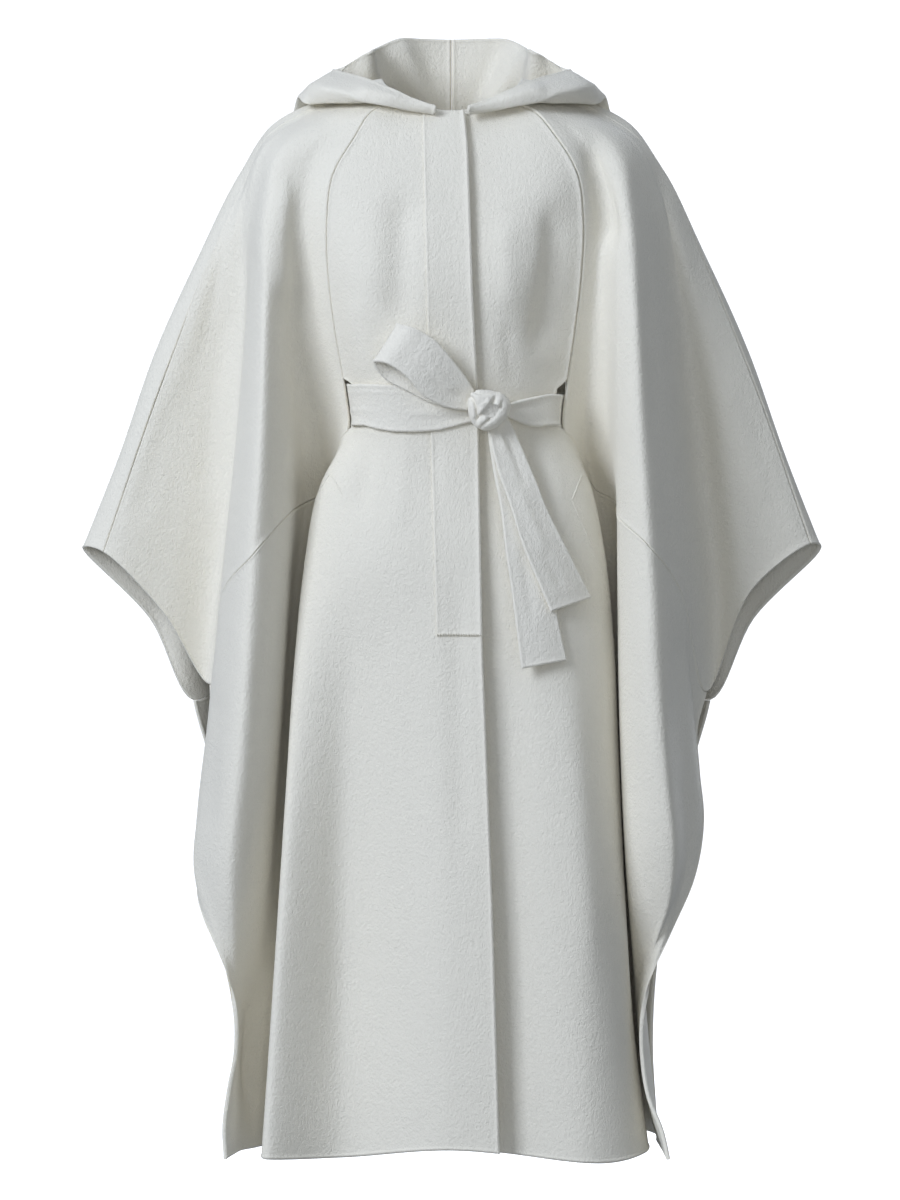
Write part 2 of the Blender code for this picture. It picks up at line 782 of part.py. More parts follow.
def grid_normals(points):
    """Unit normals of a grid of points, on the side that its rows and columns turn towards."""
    faces = np.cross(points[1:, 1:] - points[:-1, :-1], points[:-1, 1:] - points[1:, :-1])
    faces /= np.linalg.norm(faces, axis=-1, keepdims=True)
    faces = np.pad(faces, ((1, 1), (1, 1), (0, 0)), mode="edge")
    normals = faces[1:, 1:] + faces[:-1, 1:] + faces[1:, :-1] + faces[:-1, :-1]
    return normals / np.linalg.norm(normals, axis=-1, keepdims=True)


def fall_at(around, height):
    """The falls at which the skin passes these heights."""
    low, high = np.zeros(around.shape), np.full(around.shape, 2.0)
    for _ in range(26):
        middle = (low + high) / 2
        above = skin(around, middle)[..., 2] > height
        low, high = np.where(above, middle, low), np.where(above, high, middle)
    return low


def front_places(x, height):
    """(around, fall) of the front's points at these x and heights."""
    around = x / 0.07
    for _ in range(6):
        fall = fall_at(around, height)
        x_here, x_next = skin(around, fall)[..., 0], skin(around + 0.05, fall)[..., 0]
        around = np.clip(around + (x - x_here) / (x_next - x_here) * 0.05, -2.6, 2.6)
    return around, fall_at(around, height)


def places_on_rows(falls, table):
    """The place round the front where each row of the cloth meets a line of (height, x)."""
    around = np.full(len(falls), table[0][1] / 0.07)
    for _ in range(8):
        here, ahead = skin(around, falls), skin(around + 0.05, falls)
        miss, miss_ahead = (p[:, 0] - table_value(table, p[:, 2]) for p in (here, ahead))
        around = around - miss / (miss_ahead - miss) * 0.05
    return around


def places_between(first, last):
    """Places round the garment from one fold line to another, STEPS of them between each two lines."""
    places = [np.linspace(n, n + 1, STEPS[n] + 1)[:-1] for n in range(first, last)]
    return np.concatenate([*places, [last]])


def wall_mesh(name, outer, inner):
    """A closed wall between two grids of points that have the same rows and columns.

    A place in the grids that holds NaN has no cloth, which cuts a corner out of the wall.
    """
    rows, columns = outer.shape[:2]
    mesh = bmesh.new()

    def grid_vertices(grid):
        places = [(r, c) for r in range(rows) for c in range(columns) if not np.isnan(grid[r, c, 0])]
        return {place: mesh.verts.new(grid[place]) for place in places}

    front, back = grid_vertices(outer), grid_vertices(inner)
    borders = {}
    for r in range(rows - 1):
        for c in range(columns - 1):
            corners = [(r, c), (r, c + 1), (r + 1, c + 1), (r + 1, c)]
            if not all(corner in front for corner in corners):
                continue
            for a, b, d in ((0, 1, 2), (0, 2, 3)):
                mesh.faces.new([front[corners[k]] for k in (d, b, a)])
                mesh.faces.new([back[corners[k]] for k in (a, b, d)])
            for a, b in zip(corners, corners[1:] + corners[:1]):
                if borders.pop((b, a), None) is None:
                    borders[a, b] = True
    for a, b in borders:
        # Both sides of a seam are cut along the same diagonals, so that they stay apart.
        if front[a].co.z > front[b].co.z:
            mesh.faces.new([front[a], front[b], back[b]])
            mesh.faces.new([front[a], back[b], back[a]])
        else:
            mesh.faces.new([front[a], front[b], back[a]])
            mesh.faces.new([front[b], back[b], back[a]])
    bmesh.ops.recalc_face_normals(mesh, faces=mesh.faces)
    data = bpy.data.meshes.new(name)
    mesh.to_mesh(data)
    mesh.free()
    return data


def add_piece(name, data, material, collection):
    piece = bpy.data.objects.new(name, data)
    data.materials.append(material)
    data.shade_smooth()
    data.set_sharp_from_angle(angle=math.radians(50))
    collection.objects.link(piece)
    return piece


def pull_in(points, border, neighbour, distance):
    """Moves one border of a grid towards the grid's next line, by a distance along the cloth."""
    step = points[neighbour] - points[border]
    points[border] += step / np.linalg.norm(step, axis=-1, keepdims=True) * distance


def slot_opening(points):
    """How far the bodice is held back from the sleeve at each height, so that the belt can pass."""
    in_slot = (points[..., 2] < SLOT_TOP) & (points[..., 2] > SLOT_BOTTOM)
    return np.where(in_slot, SLOT_OPENING, SEAM_GAP / 2)[..., None]


def front_panels(wool, collection):
    """The two fronts and the placket on the right one.

    A front is bodice and skirt in one cut, with the wing that hangs below the sleeve.
    """
    falls = np.concatenate([UPPER_ROWS, LOWER_ROWS])
    seam_row = len(UPPER_ROWS) - 1
    for side, name in ((-1, "front_right"), (1, "front_left")):
        beyond = side * np.tile(places_between(1, EDGE), (len(falls), 1))
        if side < 0:
            start = places_on_rows(falls, CLOSURE_EDGE)
            placket_edge = places_on_rows(falls, PLACKET_INNER_EDGE)
            stops = [(start, placket_edge, 3), (placket_edge, -1.0, 2)]
        else:
            stops = [(places_on_rows(falls, [(0, UNDERLAP_X), (-2, UNDERLAP_X)]), 1.0, 4)]
        spans = [a[:, None] + (b - a)[:, None] * np.linspace(0, 1, n + 1)[:-1] for a, b, n in stops]
        around = np.hstack([*spans, beyond])
        fall = np.tile(falls[:, None], (1, around.shape[1]))
        princess = around.shape[1] - beyond.shape[1] + STEPS[1]
        outer, normals = skin(around, fall), skin_normals(around, fall)
        if side > 0:
            past_edge = outer[..., 0] - table_value(CLOSURE_EDGE, outer[..., 2])
            drop = table_value(UNDERLAP_DROP, outer[..., 2])
            fade = 1 - np.clip((past_edge - 0.012) / UNDERLAP_FADE, 0, 1)
            outer -= normals * (drop * fade**2 * (3 - 2 * fade))[..., None]
        else:
            bottom = int(np.argmin(abs(falls - PLACKET_BOTTOM_FALL)))
            strip = np.s_[: bottom + 1, :4]
            under = outer[strip] + normals[strip] * SEAM_GAP
            data = wall_mesh("placket", under + normals[strip] * PLACKET_THICKNESS, under)
            add_piece("placket", data, wool, collection)
        bodice, bodice_next = np.s_[:seam_row, princess], np.s_[:seam_row, princess - 1]
        pull_in(outer, bodice, bodice_next, slot_opening(outer[bodice]))
        pull_in(outer, np.s_[seam_row, princess:], np.s_[seam_row + 1, princess:], SEAM_GAP / 2)
        outer[:seam_row, princess + 1 :] = np.nan
        add_piece(name, wall_mesh(name, outer, outer - normals * CLOTH), wool, collection)


def sleeve_panels(wool, collection):
    """Each sleeve's front and back, from the body's seams out to the seam over the arm."""
    for side, word in ((-1, "right"), (1, "left")):
        for part, first, last in (("sleeve_front", PRINCESS, OVERARM), ("sleeve_back", OVERARM, BACK_PANEL)):
            places = side * places_between(first, last)
            around, fall = np.meshgrid(places, UPPER_ROWS)
            outer, normals = skin(around, fall), skin_normals(around, fall)
            pull_in(outer, np.s_[:, 0], np.s_[:, 1], SEAM_GAP / 2)
            pull_in(outer, np.s_[:, -1], np.s_[:, -2], SEAM_GAP / 2)
            pull_in(outer, np.s_[-1, :], np.s_[-2, :], SEAM_GAP / 2)
            name = f"{part}_{word}"
            add_piece(name, wall_mesh(name, outer, outer - normals * CLOTH), wool, collection)


def back_panel(wool, collection):
    """The back in one cut: between the sleeves above, out to both free edges below."""
    half = places_between(BACK_FREE, BACK_MIDDLE)
    places = np.concatenate([half, 2 * BACK_MIDDLE - half[-2::-1]])
    around, fall = np.meshgrid(places, np.concatenate([UPPER_ROWS, LOWER_ROWS]))
    outer, normals = skin(around, fall), skin_normals(around, fall)
    top = len(UPPER_ROWS) - 1
    first = sum(STEPS[BACK_FREE:BACK_PANEL])
    last = len(places) - 1 - first
    pull_in(outer, np.s_[:top, first], np.s_[:top, first + 1], SEAM_GAP / 2)
    pull_in(outer, np.s_[:top, last], np.s_[:top, last - 1], SEAM_GAP / 2)
    for columns in (np.s_[: first + 1], np.s_[last:]):
        pull_in(outer, (top, columns), (top + 1, columns), SEAM_GAP / 2)
    outer[:top, :first] = np.nan
    outer[:top, last + 1 :] = np.nan
    add_piece("back", wall_mesh("back", outer, outer - normals * CLOTH), wool, collection)


def hood_profile(side, place):
    """Points of the hood's outer face at one place round the neck, from the neck seam to its free edge."""
    places = np.array(sorted(HOOD_PROFILES))
    rows = np.array([np.hstack(HOOD_PROFILES[k]) for k in places])
    row = spline(rows, places, np.array([place]))[0]
    lay, roll = row[:2]
    rising = row[2:].reshape(3, 3) * (side, 1, 1)
    fine = np.linspace(0, 0.5, 60)
    around = np.full(60, side * place)
    along = path_lengths(skin(around, fine))
    fall = np.interp(HOOD_LAY_SHARES * lay, along, fine)
    around = around[: len(fall)]
    lying, normals = skin(around, fall), skin_normals(around, fall)
    onward = (lying[-1] - lying[-2]) / np.linalg.norm(lying[-1] - lying[-2])
    bend = lying[-1] + normals[-1] * roll * 0.5 + onward * roll * 0.45
    over_placket = np.interp(place, [0.8, 1.2], [0.0016, 0])
    clearance = 0.0006 + over_placket + np.minimum(0.006, 0.12 * lay) * HOOD_LAY_SHARES**0.5
    lying = lying + normals * clearance[:, None]
    path = np.vstack([lying, bend, rising])
    knots = path_lengths(path)
    rise = np.linspace(knots[len(fall) - 1], knots[-1], HOOD_RISE_ROWS + 1)[1:]
    return spline(path, knots, np.concatenate([knots[: len(fall)], rise]))


def hood_halves(wool, collection):
    """The hood's two halves, which meet at the seam from the neck over the crown."""
    places = [[HOOD_START, 0.7], np.arange(1, 5, 0.5), np.arange(5, 8, 1), np.arange(8, 17.1, 0.5)]
    places = np.concatenate(places)
    for side, name in ((-1, "hood_right"), (1, "hood_left")):
        outer = np.array([hood_profile(side, place) for place in places]).transpose(1, 0, 2)
        mirrored = outer[:, -2:-1] * (-1, 1, 1)
        normals = grid_normals(np.concatenate([outer, mirrored], axis=1))[:, :-1] * -side
        pull_in(outer, np.s_[:, -1], np.s_[:, -2], SEAM_GAP / 2)
        add_piece(name, wall_mesh(name, outer, outer - normals * CLOTH), wool, collection)


def on_front(x, height, stand_off):
    """Points that stand off the front by a distance."""
    around, fall = front_places(x, height)
    return skin(around, fall) + skin_normals(around, fall) * stand_off[..., None]


def band_mesh(name, middle):
    """A band of the belt's thickness about a grid of points of its middle face."""
    half = grid_normals(middle) * BELT_THICKNESS / 2
    return wall_mesh(name, middle + half, middle - half)


def belt_stretch(side):
    """Middle points of the belt from under the knot, along the front and in through the slot."""
    x, top, bottom = np.array(BELT_STRETCHES[side]).T
    around = front_places(x, np.full(len(x), BELT_HEIGHT))[0]
    path = side * np.linspace(1.0, 2.9, 60)
    level = np.full(60, BELT_HEIGHT)
    along = path_lengths(skin(path, fall_at(path, level)))
    along -= np.interp(2.0, abs(path), along)
    past, inside = np.array(SLOT_PASSAGE).T
    around = np.concatenate([around, np.interp(past, along, path)])
    stand_off = np.concatenate([np.full(len(x), BELT_STAND_OFF), inside])
    ends = len(past)
    top = np.concatenate([top, np.full(ends, top[-1])])
    bottom = np.concatenate([bottom, np.full(ends, bottom[-1])])
    heights = top + (bottom - top) * np.linspace(0, 1, 4)[:, None]
    around = np.tile(around, (4, 1))
    fall = fall_at(around, heights)
    return skin(around, fall) + skin_normals(around, fall) * stand_off[:, None]


def strip_from_table(rows, count):
    """Middle points of a band on the front, from rows of (x, height) at each edge and a stand-off."""
    rows = np.array(rows)
    key = np.stack([rows[:, :3], rows[:, [3, 4, 2]]])
    knots = path_lengths(rows[:, [0, 1]] + rows[:, [3, 4]])
    at = np.linspace(0, knots[-1], count)
    edges = [spline(edge, knots, at) for edge in key]
    across = np.linspace(0, 1, 4)[:, None, None]
    grid = edges[0] + (edges[1] - edges[0]) * across
    return on_front(grid[..., 0], grid[..., 1], grid[..., 2])


def belt_knot_mesh():
    """The knot: a rounded lump with the outline of KNOT_OUTLINE, flat towards the wearer."""
    angles = np.linspace(0, 2 * math.pi, KNOT_SIDES, endpoint=False)
    table_angles, radii = np.array(KNOT_OUTLINE).T
    radius = np.interp(np.degrees(angles), table_angles, radii, period=360)
    mesh = bmesh.new()
    rings = []
    for lift, share in KNOT_RINGS:
        x = KNOT_CENTRE[0] + radius * share * np.cos(angles)
        height = KNOT_CENTRE[1] + radius * share * np.sin(angles)
        ring = on_front(x, height, np.full(KNOT_SIDES, lift))
        rings.append([mesh.verts.new(point) for point in ring])
    for low, high in zip(rings, rings[1:]):
        for k in range(KNOT_SIDES):
            after = (k + 1) % KNOT_SIDES
            mesh.faces.new([low[k], low[after], high[after], high[k]])
    mesh.faces.new(list(reversed(rings[0])))
    mesh.faces.new(rings[-1])
    bmesh.ops.recalc_face_normals(mesh, faces=mesh.faces)
    data = bpy.data.meshes.new("belt_knot")
    mesh.to_mesh(data)
    mesh.free()
    return data


def belt_pieces(wool, collection):
    """The belt: in through both slots and round the back inside, tied in front with one loop."""
    stretches = {side: belt_stretch(side) for side in (-1, 1)}
    add_piece("belt_front_right", band_mesh("belt_front_right", stretches[-1]), wool, collection)
    add_piece("belt_front_left", band_mesh("belt_front_left", stretches[1]), wool, collection)
    add_piece("belt_loop", band_mesh("belt_loop", strip_from_table(BELT_LOOP, 17)), wool, collection)
    for name, table, steps in (("belt_tail_upper", TAIL_UPPER, 9), ("belt_tail_lower", TAIL_LOWER, 10)):
        add_piece(name, band_mesh(name, strip_from_table(table, steps)), wool, collection)
    add_piece("belt_knot", belt_knot_mesh(), wool, collection)
    ends = []
    for side in (-1, 1):
        last, before = stretches[side][:, -1], stretches[side][:, -2]
        onward = (last - before) / np.linalg.norm(last - before, axis=1, keepdims=True)
        ends.append(np.stack([last + onward * SEAM_GAP, last + onward * 0.012], axis=1))
    heights = np.linspace(BELT_HEIGHT + BELT_WIDTH / 2, BELT_HEIGHT - BELT_WIDTH / 2, 4)
    waist = np.array([[(x, y, z) for x, y in BELT_AROUND_BACK] for z in heights])
    path = np.concatenate([ends[0], waist, ends[1][:, ::-1]], axis=1)
    rows = []
    for row in path:
        along = path_lengths(row)
        rows.append(spline(row, along, np.linspace(0, along[-1], 25)))
    add_piece("belt_back", band_mesh("belt_back", np.array(rows)), wool, collection)


def main():
    for old in list(bpy.data.objects):
        bpy.data.objects.remove(old)
    collection = bpy.data.collections.new("burnous")
    bpy.context.scene.collection.children.link(collection)
    wool = bpy.data.materials.new("double_faced_wool")
    wool.use_nodes = True
    shader = wool.node_tree.nodes["Principled BSDF"]
    shader.inputs["Base Color"].default_value = WOOL_COLOUR
    shader.inputs["Roughness"].default_value = 0.9
    front_panels(wool, collection)
    sleeve_panels(wool, collection)
    back_panel(wool, collection)
    hood_halves(wool, collection)
    belt_pieces(wool, collection)


main()
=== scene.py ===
"""The looks of a hooded, belted wool cape coat: every cut piece as fine cloth round its solid's form.

The cloth is the same draped skin as in the solids' source: the same fold lines and the same smooth
section through them, read at finer steps. Each piece gets rounded edges, the raised line that runs
beside its seams and edges, and listed creases. The pocket welts, the stitches at the placket's
lower end and the nap are here only.
"""

import math

import bmesh
import bpy
import numpy as np

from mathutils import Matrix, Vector

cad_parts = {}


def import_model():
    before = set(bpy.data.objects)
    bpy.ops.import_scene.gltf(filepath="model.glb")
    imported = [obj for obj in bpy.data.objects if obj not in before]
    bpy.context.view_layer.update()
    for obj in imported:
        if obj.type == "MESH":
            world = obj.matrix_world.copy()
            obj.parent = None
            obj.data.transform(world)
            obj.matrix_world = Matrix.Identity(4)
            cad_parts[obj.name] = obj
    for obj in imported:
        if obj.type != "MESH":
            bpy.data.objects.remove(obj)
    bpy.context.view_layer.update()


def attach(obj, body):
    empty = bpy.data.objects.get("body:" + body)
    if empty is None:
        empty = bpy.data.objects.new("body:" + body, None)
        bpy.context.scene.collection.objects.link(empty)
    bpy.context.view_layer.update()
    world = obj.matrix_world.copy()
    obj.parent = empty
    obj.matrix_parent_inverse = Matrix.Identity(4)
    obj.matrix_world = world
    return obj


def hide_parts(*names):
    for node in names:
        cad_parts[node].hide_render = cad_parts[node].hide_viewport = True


CLOTH = 0.003
SEAM_GAP = 0.0003
HEM_HEIGHT = -1.128
PLACKET_THICKNESS = 0.0012

# A fold line is the number of the station where the sleeve ends, and its stations from the neck down,
# each (out from the centre, depth, height). Depth is negative towards the front. Above that station
# lies the sleeve or the bodice, below it the skirt. A line without stations below it ends at the cuff.

CENTRE_FRONT = (5, [
    (0.0, -0.072, -0.01), (0.0, -0.092, -0.045), (0.0, -0.118, -0.11), (0.0, -0.135, -0.19),
    (0.0, -0.134, -0.27), (0.0, -0.128, -0.357), (0.0, -0.15, -0.5), (0.0, -0.168, -0.72),
    (0.0, -0.185, -0.93), (0.0, -0.2, -1.118),
])
CREST = (8, [
    (0.076, 0.008, 0.031), (0.13, 0.008, 0.015), (0.165, 0.008, 0.004), (0.195, 0.008, -0.013),
    (0.233, 0.006, -0.068), (0.2785, 0.005, -0.159), (0.326, 0.005, -0.264), (0.368, 0.005, -0.385),
    (0.407, 0.005, -0.483),
])
BACK_FAN = (6, [
    (0.0755, 0.02, 0.03), (0.15, 0.03, 0.002), (0.205, 0.04, -0.045), (0.236, 0.046, -0.11),
    (0.265, 0.046, -0.2), (0.302, 0.042, -0.34), (0.335, 0.032, -0.56),
])
BACK_EDGE = (6, [
    (0.073, 0.032, 0.026), (0.142, 0.048, -0.001), (0.19, 0.064, -0.05), (0.215, 0.074, -0.12),
    (0.235, 0.072, -0.23), (0.256, 0.06, -0.44), (0.287, 0.032, -0.65), (0.268, 0.032, -0.72),
    (0.252, 0.04, -0.82), (0.23, 0.052, -0.93), (0.224, 0.064, -1.03), (0.23, 0.075, HEM_HEIGHT),
])
BACK_RIDGE = (5, [
    (0.066, 0.049, 0.019), (0.118, 0.074, -0.006), (0.165, 0.094, -0.062), (0.185, 0.106, -0.15),
    (0.196, 0.114, -0.32), (0.218, 0.128, -0.56), (0.222, 0.134, -0.72), (0.212, 0.134, -0.9),
    (0.208, 0.142, HEM_HEIGHT),
])
BACK_SEAM = (5, [
    (0.05, 0.061, 0.012), (0.085, 0.086, -0.01), (0.115, 0.106, -0.062), (0.131, 0.119, -0.14),
    (0.13, 0.128, -0.26), (0.126, 0.134, -0.4), (0.14, 0.134, -0.56), (0.145, 0.13, -0.78),
    (0.142, 0.14, HEM_HEIGHT),
])
BACK_BLADE = (5, [
    (0.025, 0.07, 0.008), (0.044, 0.095, -0.016), (0.06, 0.118, -0.064), (0.068, 0.132, -0.14),
    (0.068, 0.142, -0.26), (0.067, 0.152, -0.4), (0.076, 0.184, -0.6), (0.08, 0.206, -0.82),
    (0.08, 0.224, HEM_HEIGHT),
])
CENTRE_BACK = (5, [
    (0.0, 0.074, 0.006), (0.0, 0.099, -0.018), (0.0, 0.122, -0.064), (0.0, 0.136, -0.14),
    (0.0, 0.145, -0.26), (0.0, 0.154, -0.4), (0.0, 0.17, -0.6), (0.0, 0.182, -0.82),
    (0.0, 0.194, HEM_HEIGHT),
])

# The folds that hang differently on the wearer's right and left.
RIGHT_FOLDS = {
    "bust": (5, [
        (0.042, -0.065, -0.002), (0.058, -0.087, -0.04), (0.074, -0.116, -0.11), (0.085, -0.131, -0.19),
        (0.08, -0.126, -0.27), (0.07, -0.117, -0.357), (0.09, -0.136, -0.5), (0.1, -0.13, -0.61),
        (0.108, -0.127, -0.72), (0.112, -0.132, -0.93), (0.116, -0.15, -1.132),
    ]),
    "princess": (8, [
        (0.055, -0.058, 0.004), (0.086, -0.069, -0.009), (0.106, -0.082, -0.04), (0.129, -0.095, -0.083),
        (0.1345, -0.101, -0.127), (0.1345, -0.101, -0.171), (0.1265, -0.093, -0.247),
        (0.116, -0.083, -0.312), (0.113, -0.08, -0.357), (0.138, -0.088, -0.409), (0.156, -0.096, -0.496),
        (0.166, -0.114, -0.6), (0.174, -0.137, -0.738), (0.1825, -0.158, -0.879),
        (0.1915, -0.176, -1.024), (0.198, -0.192, HEM_HEIGHT),
    ]),
    "pleat": (7, [
        (0.061, -0.05, 0.009), (0.104, -0.064, -0.012), (0.148, -0.08, -0.06), (0.16, -0.088, -0.13),
        (0.159, -0.08, -0.2), (0.154, -0.062, -0.29), (0.145, -0.038, -0.37), (0.142, -0.022, -0.422),
        (0.149, -0.022, -0.5), (0.158, -0.03, -0.65), (0.169, -0.044, -0.85), (0.177, -0.06, -1.0),
        (0.186, -0.078, HEM_HEIGHT),
    ]),
    "behind": (7, [
        (0.0638, -0.045, 0.012), (0.112, -0.06, -0.012), (0.16, -0.079, -0.057), (0.173, -0.09, -0.13),
        (0.174, -0.084, -0.2), (0.171, -0.068, -0.29), (0.164, -0.044, -0.38), (0.161, -0.032, -0.434),
        (0.168, -0.036, -0.51), (0.178, -0.046, -0.65), (0.1895, -0.058, -0.85), (0.1985, -0.074, -1.0),
        (0.204, -0.09, HEM_HEIGHT),
    ]),
    "inner": (6, [
        (0.066, -0.04, 0.014), (0.12, -0.056, -0.012), (0.17, -0.077, -0.054), (0.185, -0.098, -0.13),
        (0.187, -0.108, -0.22), (0.183, -0.108, -0.34), (0.177, -0.098, -0.448), (0.18, -0.1, -0.53),
        (0.188, -0.104, -0.69), (0.197, -0.106, -0.8), (0.207, -0.104, -0.9), (0.216, -0.096, -0.955),
        (0.2235, -0.09, -1.0), (0.226, -0.086, -1.035), (0.211, -0.1, HEM_HEIGHT),
    ]),
    "ridge": (6, [
        (0.069, -0.03, 0.018), (0.13, -0.046, -0.01), (0.183, -0.069, -0.049), (0.2, -0.096, -0.12),
        (0.201, -0.117, -0.21), (0.204, -0.134, -0.35), (0.211, -0.146, -0.49), (0.221, -0.154, -0.65),
        (0.23, -0.156, -0.76), (0.234, -0.151, -0.83), (0.232, -0.142, -0.875), (0.229, -0.131, -0.91),
        (0.2265, -0.118, -0.955), (0.2258, -0.112, -1.0), (0.227, -0.112, -1.035),
        (0.224, -0.122, HEM_HEIGHT),
    ]),
    "slope": (6, [
        (0.072, -0.02, 0.022), (0.14, -0.034, -0.008), (0.195, -0.05, -0.045), (0.213, -0.062, -0.11),
        (0.218, -0.076, -0.2), (0.229, -0.082, -0.34), (0.247, -0.085, -0.53), (0.263, -0.085, -0.669),
        (0.274, -0.09, -0.77), (0.275, -0.106, -0.825), (0.257, -0.13, -0.872), (0.242, -0.135, -0.91),
        (0.2315, -0.132, -0.955), (0.2275, -0.134, -1.0), (0.2285, -0.138, -1.035),
        (0.231, -0.156, HEM_HEIGHT),
    ]),
    "edge": (6, [
        (0.0735, -0.012, 0.025), (0.147, -0.022, -0.006), (0.205, -0.035, -0.043), (0.224, -0.04, -0.11),
        (0.227, -0.036, -0.2), (0.24, -0.022, -0.38), (0.267, 0.0, -0.632), (0.264, -0.004, -0.7),
        (0.266, -0.022, -0.77), (0.271, -0.062, -0.822), (0.273, -0.1, -0.858), (0.264, -0.122, -0.884),
        (0.2505, -0.134, -0.912), (0.237, -0.142, -0.945), (0.229, -0.15, -0.978),
        (0.2285, -0.158, -1.022), (0.236, -0.168, -1.062), (0.24, -0.18, -1.095),
        (0.2375, -0.192, HEM_HEIGHT),
    ]),
    "fan": (5, [
        (0.0745, -0.008, 0.027), (0.152, -0.013, -0.004), (0.208, -0.026, -0.044), (0.23, -0.031, -0.105),
        (0.264, -0.02, -0.24), (0.318, -0.012, -0.552),
    ]),
    "overarm": (6, [
        (0.0755, -0.003, 0.0295), (0.155, -0.006, 0.0), (0.206, -0.013, -0.035), (0.226, -0.018, -0.08),
        (0.2596, -0.02, -0.154), (0.319, -0.02, -0.305), (0.382, -0.02, -0.487),
    ]),
}
LEFT_FOLDS = {
    "bust": (5, [
        (0.042, -0.065, -0.002), (0.054, -0.088, -0.04), (0.062, -0.119, -0.11), (0.064, -0.135, -0.19),
        (0.062, -0.129, -0.27), (0.062, -0.118, -0.357), (0.096, -0.143, -0.5), (0.129, -0.16, -0.72),
        (0.147, -0.178, -0.93), (0.16, -0.196, -1.132),
    ]),
    "princess": (8, [
        (0.055, -0.058, 0.004), (0.089, -0.069, -0.009), (0.111, -0.082, -0.036), (0.136, -0.093, -0.081),
        (0.142, -0.093, -0.127), (0.14, -0.087, -0.19), (0.133, -0.08, -0.249), (0.124, -0.077, -0.312),
        (0.122, -0.078, -0.357), (0.144, -0.084, -0.409), (0.161, -0.086, -0.48), (0.172, -0.088, -0.57),
        (0.1785, -0.094, -0.7), (0.185, -0.11, -0.86), (0.1925, -0.124, -0.99),
        (0.207, -0.142, HEM_HEIGHT),
    ]),
    "pleat": (7, [
        (0.061, -0.05, 0.009), (0.105, -0.064, -0.012), (0.147, -0.079, -0.055), (0.16, -0.084, -0.11),
        (0.16, -0.078, -0.19), (0.156, -0.064, -0.28), (0.154, -0.038, -0.37), (0.158, -0.01, -0.418),
        (0.163, 0.0, -0.5), (0.168, -0.004, -0.65), (0.177, 0.002, -0.85), (0.185, 0.02, -1.0),
        (0.203, 0.06, HEM_HEIGHT),
    ]),
    "behind": (7, [
        (0.0638, -0.045, 0.012), (0.112, -0.06, -0.012), (0.156, -0.079, -0.053), (0.169, -0.089, -0.112),
        (0.169, -0.088, -0.195), (0.167, -0.076, -0.285), (0.17, -0.052, -0.378), (0.178, -0.026, -0.43),
        (0.182, -0.018, -0.51), (0.186, -0.022, -0.66), (0.196, -0.018, -0.85), (0.21, -0.004, -1.0),
        (0.224, 0.01, HEM_HEIGHT),
    ]),
    "inner": (6, [
        (0.066, -0.04, 0.014), (0.12, -0.056, -0.012), (0.165, -0.076, -0.05), (0.178, -0.096, -0.12),
        (0.179, -0.108, -0.21), (0.179, -0.112, -0.33), (0.18, -0.108, -0.452), (0.1805, -0.112, -0.56),
        (0.1835, -0.118, -0.7), (0.1895, -0.122, -0.82), (0.1925, -0.112, -0.87),
        (0.1945, -0.098, -0.905), (0.1965, -0.084, -0.94), (0.1992, -0.07, -0.98), (0.2035, -0.06, -1.03),
        (0.2095, -0.056, -1.07), (0.2235, -0.055, HEM_HEIGHT),
    ]),
    "ridge": (6, [
        (0.069, -0.03, 0.018), (0.13, -0.046, -0.01), (0.177, -0.069, -0.045), (0.191, -0.098, -0.12),
        (0.196, -0.12, -0.21), (0.201, -0.136, -0.34), (0.21, -0.147, -0.482), (0.218, -0.155, -0.62),
        (0.227, -0.158, -0.73), (0.234, -0.151, -0.81), (0.229, -0.137, -0.865), (0.215, -0.119, -0.905),
        (0.2025, -0.103, -0.94), (0.1995, -0.091, -0.98), (0.203, -0.088, -1.03), (0.2085, -0.092, -1.07),
        (0.225, -0.105, HEM_HEIGHT),
    ]),
    "slope": (6, [
        (0.072, -0.02, 0.022), (0.14, -0.034, -0.008), (0.195, -0.051, -0.045), (0.208, -0.07, -0.11),
        (0.218, -0.086, -0.21), (0.231, -0.094, -0.35), (0.247, -0.088, -0.53), (0.253, -0.085, -0.64),
        (0.25, -0.093, -0.75), (0.248, -0.107, -0.825), (0.236, -0.119, -0.868), (0.22, -0.121, -0.905),
        (0.2075, -0.119, -0.94), (0.2007, -0.119, -0.98), (0.2022, -0.121, -1.03), (0.2082, -0.13, -1.07),
        (0.226, -0.152, HEM_HEIGHT),
    ]),
    "edge": (6, [
        (0.0735, -0.012, 0.025), (0.147, -0.022, -0.006), (0.205, -0.035, -0.043), (0.226, -0.038, -0.1),
        (0.245, -0.03, -0.2), (0.272, -0.01, -0.4), (0.281, 0.0, -0.64), (0.27, -0.002, -0.683),
        (0.271, -0.02, -0.728), (0.274, -0.05, -0.78), (0.262, -0.086, -0.84), (0.234, -0.114, -0.898),
        (0.212, -0.132, -0.944), (0.2025, -0.142, -0.978), (0.2015, -0.152, -1.03),
        (0.208, -0.164, -1.069), (0.221, -0.18, -1.101), (0.2265, -0.198, HEM_HEIGHT),
    ]),
    "fan": (5, [
        (0.0745, -0.008, 0.027), (0.152, -0.013, -0.004), (0.208, -0.026, -0.044), (0.234, -0.03, -0.105),
        (0.281, -0.026, -0.24), (0.328, -0.014, -0.53),
    ]),
    "overarm": (6, [
        (0.0755, -0.003, 0.0295), (0.155, -0.006, 0.0), (0.207, -0.012, -0.035), (0.234, -0.014, -0.072),
        (0.27, -0.014, -0.152), (0.333, -0.014, -0.305), (0.394, -0.012, -0.478),
    ]),
}

FOLD_ORDER = ("bust", "princess", "pleat", "behind", "inner", "ridge", "slope", "edge", "fan", "overarm")

